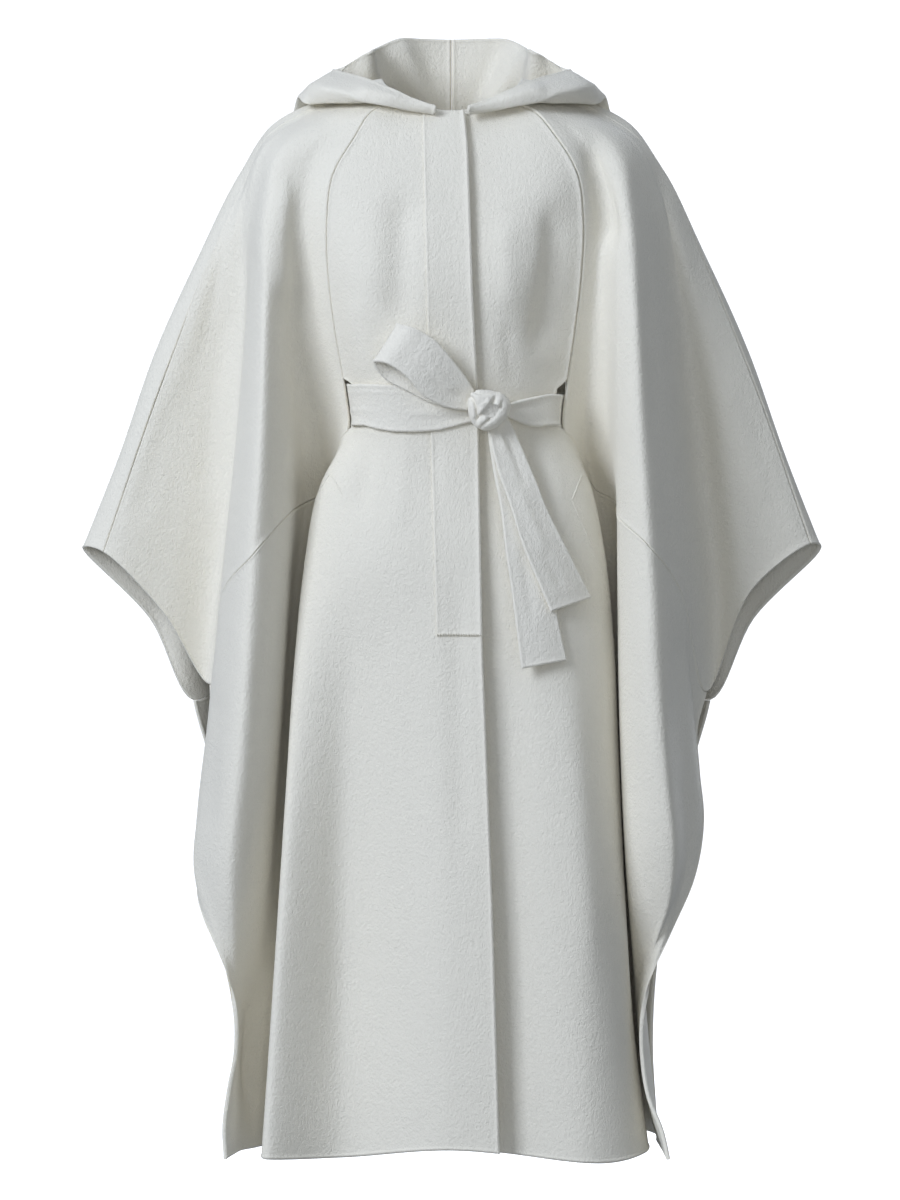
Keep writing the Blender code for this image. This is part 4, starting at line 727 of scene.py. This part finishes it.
def edge_shape(points, kinds, thickness):
    """Half the cloth's thickness at each point, and the height of the raised lines beside its edges.

    kinds gives the kind of the edges that lie up, down, left and right of a point.
    """
    half, ridge = np.full(points.shape[:2], thickness / 2), np.zeros(points.shape[:2])
    ways = {"up": (0, 1), "down": (0, -1), "left": (1, 1), "right": (1, -1)}
    for way, (axis, turn) in ways.items():
        path = np.moveaxis(points, axis, 0)[::turn]
        there = ~np.isnan(path[..., 0])
        steps = np.linalg.norm(np.diff(path, axis=0), axis=-1)
        away = np.zeros(path.shape[:2])
        for k in range(1, len(path)):
            away[k] = np.where(there[k - 1], away[k - 1] + steps[k - 1], 0)
        away = np.moveaxis(away[::turn], 0, axis)
        radius, height, centre, width = np.moveaxis(EDGE_KINDS[kinds[way]], -1, 0)
        rounded = np.sqrt(1 - (1 - np.clip(away / radius, 0, 1)) ** 2) * thickness / 2
        half = np.minimum(half, rounded)
        ridge = np.maximum(ridge, height * np.exp(-(((away - centre) / width) ** 2)))
    return half, ridge


def crease_lift(x, height, creases):
    """How far the listed creases raise the cloth at each point, as seen from the front or back."""
    total = np.zeros(x.shape)
    here = np.stack([x, height], axis=-1)[..., None, :]
    for line, lift, left_width, right_width in creases:
        line = np.array(line, float)
        knots = path_lengths(line)
        fine = spline(line, knots, np.linspace(0, knots[-1], 30))
        start, step = fine[:-1], np.diff(fine, axis=0)
        share = np.clip(((here - start) * step).sum(-1) / (step**2).sum(-1), 0, 1)
        gap = here - start - step * share[..., None]
        distance = np.linalg.norm(gap, axis=-1)
        nearest = np.nan_to_num(distance, nan=9).argmin(-1)[..., None]
        along = (nearest + np.take_along_axis(share, nearest, -1)) / len(start)
        turn = step[:, 0] * gap[..., 1] - step[:, 1] * gap[..., 0]
        width = np.where(np.take_along_axis(turn, nearest, -1) > 0, left_width, right_width)
        fade = np.clip(4 * np.minimum(along, 1 - along), 0, 1)
        swell = lift * fade**2 * (3 - 2 * fade)
        total += (swell * np.exp(-((np.take_along_axis(distance, nearest, -1) / width) ** 2)))[..., 0]
    return total


def cloth_mesh(name, points, normals, kinds, thickness=CLOTH):
    """A closed thin wall with rounded edges. Its points lie on the outer face, NaN beside the cloth."""
    there = ~np.isnan(points[..., 0])
    cells = there[:-1, :-1] & there[1:, :-1] & there[1:, 1:] & there[:-1, 1:]
    around_each = np.pad(cells, 1)
    inside = around_each[:-1, :-1] & around_each[1:, :-1]
    inside &= around_each[1:, 1:] & around_each[:-1, 1:]
    half, ridge = edge_shape(points, kinds, thickness)
    half = np.where(inside, half, 0)[..., None]
    ridge = np.where(inside, ridge, 0)[..., None]
    middle = points - normals * thickness / 2
    face = middle + normals * (half + ridge)
    back = middle - normals * (half + ridge * BACK_RIDGE_SHARE)
    shared = there & ~inside
    face_index = np.full(there.shape, -1)
    face_index[there] = np.arange(there.sum())
    back_index = np.where(shared, face_index, -1)
    back_index[inside] = there.sum() + np.arange(inside.sum())
    r, c = np.nonzero(cells)
    corners = [(r, c), (r, c + 1), (r + 1, c + 1), (r + 1, c)]
    one = np.stack([face_index[a, b] for a, b in corners], axis=1)
    other = np.stack([back_index[a, b] for a, b in reversed(corners)], axis=1)
    middle_cell = len(r) // 2
    a, b, _, d = (face[corner[0][middle_cell], corner[1][middle_cell]] for corner in corners)
    outward = np.cross(b - a, d - a) @ normals[r[middle_cell], c[middle_cell]]
    if outward < 0:
        one, other = one[:, ::-1], other[:, ::-1]
    data = bpy.data.meshes.new(name)
    corners_of_all = np.concatenate([face[there], back[inside]])
    data.from_pydata(corners_of_all, [], np.concatenate([one, other]).tolist())
    data.shade_smooth()
    return data


def closed_mesh(name, points, faces):
    """A smooth mesh whose faces all turn outwards."""
    data = bpy.data.meshes.new(name)
    data.from_pydata(points, [], faces)
    mesh = bmesh.new()
    mesh.from_mesh(data)
    bmesh.ops.recalc_face_normals(mesh, faces=mesh.faces)
    mesh.to_mesh(data)
    mesh.free()
    data.shade_smooth()
    return data


def hood_profile(side, place):
    """The hood's outer face at one place round the neck, from the neck seam to its free edge."""
    places = np.array(sorted(HOOD_PROFILES))
    rows = np.array([np.hstack(HOOD_PROFILES[k]) for k in places])
    row = spline(rows, places, np.array([place]))[0]
    lay, roll = row[:2]
    rising = row[2:].reshape(3, 3) * (side, 1, 1)
    shares = finer(HOOD_LAY_SHARES, 3)
    fine = np.linspace(0, 0.5, 60)
    around = np.full(60, side * place)
    along = path_lengths(skin(around, fine))
    fall = np.interp(shares * lay, along, fine)
    around = around[: len(fall)]
    lying, normals = skin(around, fall), skin_normals(around, fall)
    onward = (lying[-1] - lying[-2]) / np.linalg.norm(lying[-1] - lying[-2])
    bend = lying[-1] + normals[-1] * roll * 0.5 + onward * roll * 0.45
    over_placket = np.interp(place, [0.8, 1.2], [HOOD_OVER_PLACKET, 0])
    spring = np.minimum(HOOD_MOST_SPRING, 0.12 * lay)
    clearance = HOOD_CLEARANCE + over_placket + spring * shares**0.5
    lying = lying + normals * clearance[:, None]
    path = np.vstack([lying, bend, rising])
    knots = path_lengths(path)
    rise = np.linspace(knots[len(fall) - 1], knots[-1], HOOD_RISE_ROWS + 1)[1:]
    return spline(path, knots, np.concatenate([knots[: len(fall)], rise]))


def on_front(x, height, stand_off):
    """Points that stand off the front by a distance."""
    around, fall = front_places(x, height)
    return skin(around, fall) + skin_normals(around, fall) * stand_off[..., None]


def belt_stretch(side):
    """Middle points of the belt from under the knot, along the front and in through the slot."""
    x, top, bottom = np.array(BELT_STRETCHES[side]).T
    around = front_places(x, np.full(len(x), BELT_HEIGHT))[0]
    path = side * np.linspace(1.0, 2.9, 60)
    level = np.full(60, BELT_HEIGHT)
    along = path_lengths(skin(path, fall_at(path, level)))
    along -= np.interp(2.0, abs(path), along)
    past, inside = np.array(SLOT_PASSAGE).T
    around = np.concatenate([around, np.interp(past, along, path)])
    stand_off = np.concatenate([np.full(len(x), BELT_STAND_OFF), inside])
    ends = len(past)
    top = np.concatenate([top, np.full(ends, top[-1])])
    bottom = np.concatenate([bottom, np.full(ends, bottom[-1])])
    heights = top + (bottom - top) * np.linspace(0, 1, BELT_LINES)[:, None]
    around = np.tile(around, (BELT_LINES, 1))
    fall = fall_at(around, heights)
    return skin(around, fall) + skin_normals(around, fall) * stand_off[:, None]


def strip_from_table(rows, count):
    """Middle points of a band on the front, from rows of (x, height) at each edge and a stand-off."""
    rows = np.array(rows)
    key = np.stack([rows[:, :3], rows[:, [3, 4, 2]]])
    knots = path_lengths(rows[:, [0, 1]] + rows[:, [3, 4]])
    at = np.linspace(0, knots[-1], count)
    edges = [spline(edge, knots, at) for edge in key]
    across = np.linspace(0, 1, BELT_LINES)[:, None, None]
    grid = edges[0] + (edges[1] - edges[0]) * across
    return on_front(grid[..., 0], grid[..., 1], grid[..., 2])


def belt_knot_mesh():
    """The knot: the belt wrapped over itself, with the creases of the wraps, flat towards the wearer."""
    sides, turns = KNOT_SIDES, KNOT_TURNS
    angles = np.linspace(0, 2 * math.pi, sides, endpoint=False)
    table_angles, radii = np.array(KNOT_OUTLINE).T
    table_angles = np.concatenate([table_angles - 360, table_angles, table_angles + 360])
    radius = spline(np.tile(radii, 3)[:, None], table_angles, np.degrees(angles))[:, 0]
    knots = path_lengths(np.array(KNOT_RINGS) * (1, 0.02))
    profile = spline(np.array(KNOT_RINGS), knots, np.linspace(0, knots[-1], turns))
    x = KNOT_CENTRE[0] + radius * profile[:, 1:] * np.cos(angles)
    height = KNOT_CENTRE[1] + radius * profile[:, 1:] * np.sin(angles)
    points = on_front(x, height, np.tile(profile[:, :1], (1, sides)))
    around = np.roll(points, -1, axis=1) - np.roll(points, 1, axis=1)
    normals = np.cross(around, np.gradient(points, axis=0))
    normals /= np.linalg.norm(normals, axis=-1, keepdims=True)
    points += normals * crease_lift(points[..., 0], points[..., 2], KNOT_CREASES)[..., None]
    faces = []
    for r in range(turns - 1):
        for k in range(sides):
            here, after = r * sides + k, r * sides + (k + 1) % sides
            faces.append((here, after, after + sides, here + sides))
    faces.append(tuple(reversed(range(sides))))
    faces.append(tuple((turns - 1) * sides + k for k in range(sides)))
    return closed_mesh("belt_knot", points.reshape(-1, 3), faces)


def thread_mesh(name, runs, width, height):
    """Thin rounded threads that lie half sunk in the cloth. Each run is (points, normals)."""
    corners, faces, sides = [], [], THREAD_SIDES
    angles = np.linspace(0, 2 * math.pi, sides, endpoint=False)
    for points, normals in runs:
        along = np.gradient(points, axis=0)
        across = np.cross(along, normals)
        across /= np.linalg.norm(across, axis=1, keepdims=True)
        taper = np.ones(len(points))
        taper[[0, -1]] = THREAD_END
        offset = across[:, None] * np.cos(angles)[:, None] * width / 2
        offset = offset + normals[:, None] * np.sin(angles)[:, None] * height
        first = sum(len(part) for part in corners)
        corners.append((points[:, None] + offset * taper[:, None, None]).reshape(-1, 3))
        for r in range(len(points) - 1):
            for k in range(sides):
                here, after = first + r * sides + k, first + r * sides + (k + 1) % sides
                faces.append((here, after, after + sides, here + sides))
        last = first + (len(points) - 1) * sides
        faces.append(tuple(first + k for k in reversed(range(sides))))
        faces.append(tuple(last + k for k in range(sides)))
    return closed_mesh(name, np.concatenate(corners), faces)


def pocket_welts(wool):
    """The welts of the pocket mouths, as thin raised lines on the fronts."""
    for side, word in ((-1, "right"), (1, "left")):
        runs = []
        for line in POCKET_WELTS[side]:
            line = np.array(line)
            knots = path_lengths(line)
            x, height = spline(line, knots, np.linspace(0, knots[-1], 40)).T
            low, high = (np.full(len(x), place) for place in WELT_PLACES)
            for _ in range(WELT_HALVINGS):
                middle = (low + high) / 2
                inward = side * skin(side * middle, fall_at(side * middle, height))[:, 0] < side * x
                low, high = np.where(inward, middle, low), np.where(inward, high, middle)
            grid = skin_grid(side * low, fall_at(side * low, height), FRONT_CREASES[side])
            runs.append((grid[:, :3], grid[:, 3:]))
        data = thread_mesh(f"pocket_welt_{word}", runs, WELT_WIDTH, WELT_HEIGHT)
        add_piece(f"pocket_welt_{word}", data, wool, [])


def placket_stitches(wool):
    """The hand stitches that hold the placket's lower end."""
    edge = skin(np.linspace(-0.3, 0.6, 200), np.full(200, PLACKET_BOTTOM_FALL))
    first = np.interp(PLACKET_INNER_EDGE[-1][1], edge[:, 0], np.arange(200))
    start = PLACKET_INNER_EDGE[-1][1] + STITCH_MARGINS[0]
    stop = table_value(CLOSURE_EDGE, edge[int(first), 2]) - STITCH_MARGINS[1]
    runs = []
    for k, x in enumerate(np.arange(start, stop, STITCH_SPACING)):
        lean = STITCH_LEAN * math.sin(2.3 * k)
        rise, stand_off = np.array(STITCH_PATH).T
        bottom = np.interp(x, edge[:, 0], edge[:, 2])
        here = x + lean * np.linspace(1, -1, len(rise))
        around, fall = front_places(here, bottom + rise * (1 + 0.15 * math.sin(1.7 * k)))
        grid = skin_grid(around, fall, FRONT_CREASES[-1])
        runs.append((grid[:, :3] + grid[:, 3:] * stand_off[:, None], grid[:, 3:]))
    data = thread_mesh("placket_stitches", runs, STITCH_WIDTH, STITCH_WIDTH / 2)
    add_piece("placket_stitches", data, wool, [])


def add_piece(name, data, material, nodes):
    """Links a piece, lets it ride on the row's one body and stand for its solids."""
    piece = bpy.data.objects.new(name, data)
    data.materials.append(material)
    bpy.context.scene.collection.objects.link(piece)
    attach(piece, "root")
    if nodes:
        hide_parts(*nodes)
    return piece


def add_cloth(name, grid, kinds, material, thickness=CLOTH):
    """Adds the cloth that stands for the solid of its name, from a grid of points and normals."""
    data = cloth_mesh(name, grid[..., :3], grid[..., 3:], kinds, thickness)
    add_piece(name, data, material, [name])


def fine_rows():
    """The falls of the fine rows."""
    return finer(np.concatenate([UPPER_ROWS, LOWER_ROWS]), DOWN)


def skin_grid(around, fall, creases=()):
    """Points of the skin with its creases, and its normals, side by side."""
    points, normals = skin(around, fall), skin_normals(around, fall)
    if creases:
        points = points + normals * crease_lift(points[..., 0], points[..., 2], creases)[..., None]
    return np.concatenate([points, normals], axis=-1)


def fronts(wool):
    """The right and the left front, each with its bodice, skirt and wing in one."""
    falls = fine_rows()
    seam_row = (len(UPPER_ROWS) - 1) * DOWN
    for side, name in ((-1, "front_right"), (1, "front_left")):
        beyond = side * np.tile(finer(places_between(1, EDGE), ACROSS), (len(falls), 1))
        if side < 0:
            placket_edge = places_on_rows(falls, PLACKET_INNER_EDGE)
            stops = [(places_on_rows(falls, CLOSURE_EDGE), placket_edge, 3), (placket_edge, -1.0, 2)]
        else:
            stops = [(places_on_rows(falls, [(0, UNDERLAP_X), (-2, UNDERLAP_X)]), 1.0, 4)]
        spans = []
        for a, b, count in stops:
            spans.append(a[:, None] + (b - a)[:, None] * np.linspace(0, 1, count * ACROSS + 1)[:-1])
        around = np.hstack([*spans, beyond])
        fall = np.tile(falls[:, None], (1, around.shape[1]))
        grid = skin_grid(around, fall, FRONT_CREASES[side])
        points, normals = grid[..., :3], grid[..., 3:]
        if side > 0:
            past_edge = points[..., 0] - table_value(CLOSURE_EDGE, points[..., 2])
            drop = table_value(UNDERLAP_DROP, points[..., 2])
            fade = 1 - np.clip((past_edge - UNDERLAP_START) / UNDERLAP_FADE, 0, 1)
            points -= normals * (drop * fade**2 * (3 - 2 * fade))[..., None]
        else:
            placket(wool, grid[falls <= PLACKET_BOTTOM_FALL + 1e-9, : 3 * ACROSS + 1])
        princess = around.shape[1] - beyond.shape[1] + STEPS[1] * ACROSS
        open_slot(points, seam_row, princess, side)
        pull_in(points, np.s_[seam_row, princess:], np.s_[seam_row + 1, princess:], SEAM_GAP / 2)
        grid[:seam_row, princess + 1 :] = np.nan
        last_row, last_column = grid.shape[0] - 1, grid.shape[1] - 1
        grid = rimmed(
            grid,
            rows=[(last_row, -1), (seam_row, 1), (0, 1)],
            columns=[(last_column, -1), (princess, -1), (0, 1)],
        )
        above = np.arange(grid.shape[0])[:, None] <= seam_row + len(RIM_LINES)
        right_edge = np.where(above, CORD if side > 0 else SEAM, HEM)
        kinds = {"up": SEAM, "down": HEM, "left": HEM, "right": right_edge}
        add_cloth(name, grid, kinds, wool)


def open_slot(points, seam_row, princess, side):
    """Holds the bodice's edge back from the sleeve: wide at the belt, else by the seam's gap."""
    edge = points[:seam_row, princess].copy()
    step = points[:seam_row, princess - ACROSS] - edge
    step /= np.linalg.norm(step, axis=-1, keepdims=True)
    top, bottom = SLOT_ENDS[side]
    within = np.minimum((SLOT_TOP - edge[:, 2]) / top, (edge[:, 2] - SLOT_BOTTOM) / bottom)
    opening = SEAM_GAP / 2 + SLOT_OPENING * np.clip(within, 0, 1) ** 1.3
    for k in range(ACROSS):
        points[:seam_row, princess - k] += step * (opening * (1 - k / ACROSS))[:, None]


def placket(wool, grid):
    """The strip over the concealed buttons, on the right front from the neck down past the belt."""
    points = grid[..., :3] + grid[..., 3:] * (SEAM_GAP + PLACKET_THICKNESS)
    grid = rimmed_all_round(np.concatenate([points, grid[..., 3:]], axis=-1))
    kinds = {"up": SEAM, "down": PRESSED, "left": HEM, "right": PRESSED}
    add_cloth("placket", grid, kinds, wool, thickness=PLACKET_THICKNESS)


def sleeves(wool):
    """The front and the back of each sleeve."""
    falls = finer(UPPER_ROWS, DOWN)
    for side, word in ((-1, "right"), (1, "left")):
        spans = [("sleeve_front", PRINCESS, OVERARM, (0.50, 0.72, 0.44, "hung"))]
        spans += [("sleeve_back", OVERARM, BACK_PANEL, (0.40, 0.75, 0.53, "hung"))]
        for part, first, last, sheet in spans:
            places = finer(places_between(first, last), ACROSS)
            around, fall = np.meshgrid(side * places, falls)
            grid = skin_grid(around, fall, SLEEVE_CREASES[part, side])
            points = grid[..., :3]
            pull_in(points, np.s_[:, 0], np.s_[:, 1], SEAM_GAP / 2)
            pull_in(points, np.s_[:, -1], np.s_[:, -2], SEAM_GAP / 2)
            pull_in(points, np.s_[-1, :], np.s_[-2, :], SEAM_GAP / 2)
            grid = rimmed_all_round(grid)
            wing_line = EDGE if first == PRINCESS else BACK_FREE
            joined = int(np.argmin(abs(places - wing_line))) + len(RIM_LINES)
            column = np.arange(grid.shape[1])[None]
            on_wing = column <= joined if first == PRINCESS else column >= joined
            kinds = {"up": SEAM, "down": np.where(on_wing, SEAM, HEM), "left": SEAM, "right": SEAM}
            add_cloth(f"{part}_{word}", grid, kinds, wool)


def back(wool):
    """The back, which is narrow between the sleeves and widens below them."""
    half = places_between(BACK_FREE, BACK_MIDDLE)
    places = finer(np.concatenate([half, 2 * BACK_MIDDLE - half[-2::-1]]), ACROSS)
    around, fall = np.meshgrid(places, fine_rows())
    grid = skin_grid(around, fall, BACK_CREASES)
    points = grid[..., :3]
    top = (len(UPPER_ROWS) - 1) * DOWN
    first = sum(STEPS[BACK_FREE:BACK_PANEL]) * ACROSS
    last = len(places) - 1 - first
    pull_in(points, np.s_[:top, first], np.s_[:top, first + 1], SEAM_GAP / 2)
    pull_in(points, np.s_[:top, last], np.s_[:top, last - 1], SEAM_GAP / 2)
    for columns in (np.s_[: first + 1], np.s_[last:]):
        pull_in(points, (top, columns), (top + 1, columns), SEAM_GAP / 2)
    grid[:top, :first] = np.nan
    grid[:top, last + 1 :] = np.nan
    last_row, last_column = grid.shape[0] - 1, grid.shape[1] - 1
    grid = rimmed(
        grid,
        rows=[(last_row, -1), (top, 1), (0, 1)],
        columns=[(last_column, -1), (last, -1), (first, 1), (0, 1)],
    )
    above = np.arange(grid.shape[0])[:, None] <= top + len(RIM_LINES)
    sides = np.where(above, SEAM, HEM)
    kinds = {"up": SEAM, "down": HEM, "left": sides, "right": sides}
    add_cloth("back", grid, kinds, wool)


def hood(wool):
    """The two halves of the hood, lying down behind the neck."""
    places = [[HOOD_START, 0.7], np.arange(1, 5, 0.5), np.arange(5, 17.1, 1)]
    places = finer(np.concatenate(places), 4)
    for side, name in ((-1, "hood_right"), (1, "hood_left")):
        outer = np.array([hood_profile(side, place) for place in places]).transpose(1, 0, 2)
        mirrored = outer[:, -2:-1] * (-1, 1, 1)
        normals = grid_normals(np.concatenate([outer, mirrored], axis=1))[:, :-1] * -side
        far = np.clip(outer[..., 1] / 0.05 - 1, 0, 1) * (outer[..., 2] > -0.03)
        far[: 3 * (len(HOOD_LAY_SHARES) - 1) + 8] = 0
        lift = far * crease_lift(outer[..., 0], outer[..., 2], HOOD_CREASES[side])
        outer += normals * lift[..., None]
        pull_in(outer, np.s_[:, -1], np.s_[:, -2], SEAM_GAP / 2)
        grid = rimmed_all_round(np.concatenate([outer, normals], axis=-1))
        kinds = {"up": SEAM, "down": HEM, "left": HEM, "right": HOOD_SEAM}
        add_cloth(name, grid, kinds, wool)


def band(name, middle, material):
    """A stretch of the belt from a grid of points of its middle face."""
    normals = grid_normals(middle)
    lift = crease_lift(middle[..., 0], middle[..., 2], BELT_CREASES.get(name, ()))
    face = middle + normals * (BELT_THICKNESS / 2 + lift)[..., None]
    grid = rimmed_all_round(np.concatenate([face, normals], axis=-1))
    kinds = dict.fromkeys(("up", "down", "left", "right"), BELT_EDGE)
    add_cloth(name, grid, kinds, material, BELT_THICKNESS)


def belt(wool):
    """The belt: its stretches on the front, loop, tails, knot, and the part round the back inside."""
    stretches = {side: belt_stretch(side) for side in (-1, 1)}
    band("belt_front_right", stretches[-1], wool)
    band("belt_front_left", stretches[1], wool)
    band("belt_loop", strip_from_table(BELT_LOOP, 90), wool)
    for name, table in (("belt_tail_upper", TAIL_UPPER), ("belt_tail_lower", TAIL_LOWER)):
        band(name, strip_from_table(table, 70), wool)
    add_piece("belt_knot", belt_knot_mesh(), wool, ["belt_knot"])
    ends = []
    for side in (-1, 1):
        last, before = stretches[side][:, -1], stretches[side][:, -2]
        onward = (last - before) / np.linalg.norm(last - before, axis=1, keepdims=True)
        ends.append(np.stack([last + onward * SEAM_GAP, last + onward * 0.012], axis=1))
    heights = np.linspace(BELT_HEIGHT + BELT_WIDTH / 2, BELT_HEIGHT - BELT_WIDTH / 2, BELT_LINES)
    waist = np.array([[(x, y, z) for x, y in BELT_AROUND_BACK] for z in heights])
    path = np.concatenate([ends[0], waist, ends[1][:, ::-1]], axis=1)
    rows = []
    for row in path:
        along = path_lengths(row)
        rows.append(spline(row, along, np.linspace(0, along[-1], 100)))
    band("belt_back", np.array(rows), wool)


def set_inputs(node, values):
    """Sets a shader node's inputs by their names."""
    for name, value in values.items():
        node.inputs[name].default_value = value


def wool_material(name, colour, nap_scale):
    """Felted double-faced wool: a short brushed nap, slightly uneven in tone."""
    material = bpy.data.materials.new(name)
    material.use_nodes = True
    nodes, links = material.node_tree.nodes, material.node_tree.links
    shader = nodes["Principled BSDF"]
    set_inputs(shader, {"Roughness": 0.92, "Specular IOR Level": 0.22})
    set_inputs(shader, {"Sheen Weight": 0.30, "Sheen Roughness": 0.45})
    place = nodes.new("ShaderNodeTexCoord").outputs["Object"]

    def noise(scale, detail, stretch=(1, 1, 1)):
        mapping = nodes.new("ShaderNodeMapping")
        set_inputs(mapping, {"Scale": stretch})
        links.new(place, mapping.inputs["Vector"])
        texture = nodes.new("ShaderNodeTexNoise")
        set_inputs(texture, {"Scale": scale, "Detail": detail})
        links.new(mapping.outputs["Vector"], texture.inputs["Vector"])
        return texture.outputs["Fac"]

    def bump(height, strength, distance, below=None):
        node = nodes.new("ShaderNodeBump")
        set_inputs(node, {"Strength": strength, "Distance": distance})
        links.new(height, node.inputs["Height"])
        if below:
            links.new(below, node.inputs["Normal"])
        return node.outputs["Normal"]

    fibres = noise(nap_scale, 4, (1, 1, 0.55))
    pills = noise(nap_scale * 0.36, 3, (1, 1, 0.8))
    waves = noise(26, 2)
    normal = bump(waves, 0.25, 0.004)
    normal = bump(pills, 0.7, 0.0015, normal)
    normal = bump(fibres, 0.9, 0.0010, normal)
    links.new(normal, shader.inputs["Normal"])
    tone = nodes.new("ShaderNodeMix")
    tone.data_type = "RGBA"
    tone.inputs["A"].default_value = (*[c * 0.955 for c in colour], 1)
    tone.inputs["B"].default_value = (*[min(1, c * 1.03) for c in colour], 1)
    links.new(fibres, tone.inputs["Factor"])
    links.new(tone.outputs["Result"], shader.inputs["Base Color"])
    return material


def light(name, place, target, size, power, colour):
    """A soft rectangular light that points at its target."""
    data = bpy.data.lights.new(name, "AREA")
    data.shape = "RECTANGLE"
    data.size, data.size_y = size
    data.energy, data.color = power, colour
    lamp = bpy.data.objects.new(name, data)
    lamp.location = place
    direction = Vector(target) - Vector(place)
    lamp.rotation_euler = direction.to_track_quat("-Z", "Y").to_euler()
    bpy.context.scene.collection.objects.link(lamp)


def studio():
    """A white sweep that doesn't light the garment, the camera, and soft light from the upper left."""
    scene = bpy.context.scene
    scene.view_settings.view_transform = "Standard"
    glow = bpy.data.materials.new("white_backdrop")
    glow.use_nodes = True
    shader = glow.node_tree.nodes["Principled BSDF"]
    set_inputs(shader, {"Base Color": (0.9, 0.9, 0.9, 1), "Emission Color": (1, 1, 1, 1)})
    set_inputs(shader, {"Emission Strength": 1.0})
    mesh = bmesh.new()
    profile = [mesh.verts.new((radius, 0, height)) for radius, height in BACKDROP_RINGS]
    edges = [mesh.edges.new(pair) for pair in zip(profile, profile[1:])]
    turn = {"cent": (0, 0, 0), "axis": (0, 0, 1), "angle": 2 * math.pi, "steps": 64, "use_merge": True}
    bmesh.ops.spin(mesh, geom=profile + edges, **turn)
    bmesh.ops.remove_doubles(mesh, verts=mesh.verts, dist=0.001)
    data = bpy.data.meshes.new("backdrop")
    mesh.to_mesh(data)
    mesh.free()
    data.shade_smooth()
    data.materials.append(glow)
    backdrop = bpy.data.objects.new("backdrop", data)
    scene.collection.objects.link(backdrop)
    backdrop.visible_diffuse = False
    backdrop.visible_glossy = False
    backdrop.visible_shadow = False
    world = bpy.data.worlds.new("soft_room")
    world.use_nodes = True
    background = world.node_tree.nodes["Background"]
    set_inputs(background, {"Color": WORLD_COLOUR, "Strength": WORLD_STRENGTH})
    scene.world = world
    for lamp in LIGHTS:
        light(*lamp)
    camera = bpy.data.objects.new("camera", bpy.data.cameras.new("camera"))
    camera.location = (CAMERA_X, -CAMERA_DISTANCE, CAMERA_HEIGHT)
    camera.rotation_euler = (math.pi / 2, 0, 0)
    camera.data.lens = 36 * CAMERA_DISTANCE / VIEW_HEIGHT
    camera.data.sensor_width = 36
    camera.data.clip_end = 60
    scene.collection.objects.link(camera)
    scene.camera = camera


def main():
    """Builds everything."""
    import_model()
    wool = wool_material("ivory_wool", WOOL_COLOUR, 900)
    belt_wool = wool_material("belt_wool", BELT_COLOUR, 800)
    fronts(wool)
    sleeves(wool)
    back(wool)
    hood(wool)
    belt(belt_wool)
    pocket_welts(wool)
    placket_stitches(wool)
    studio()


main()
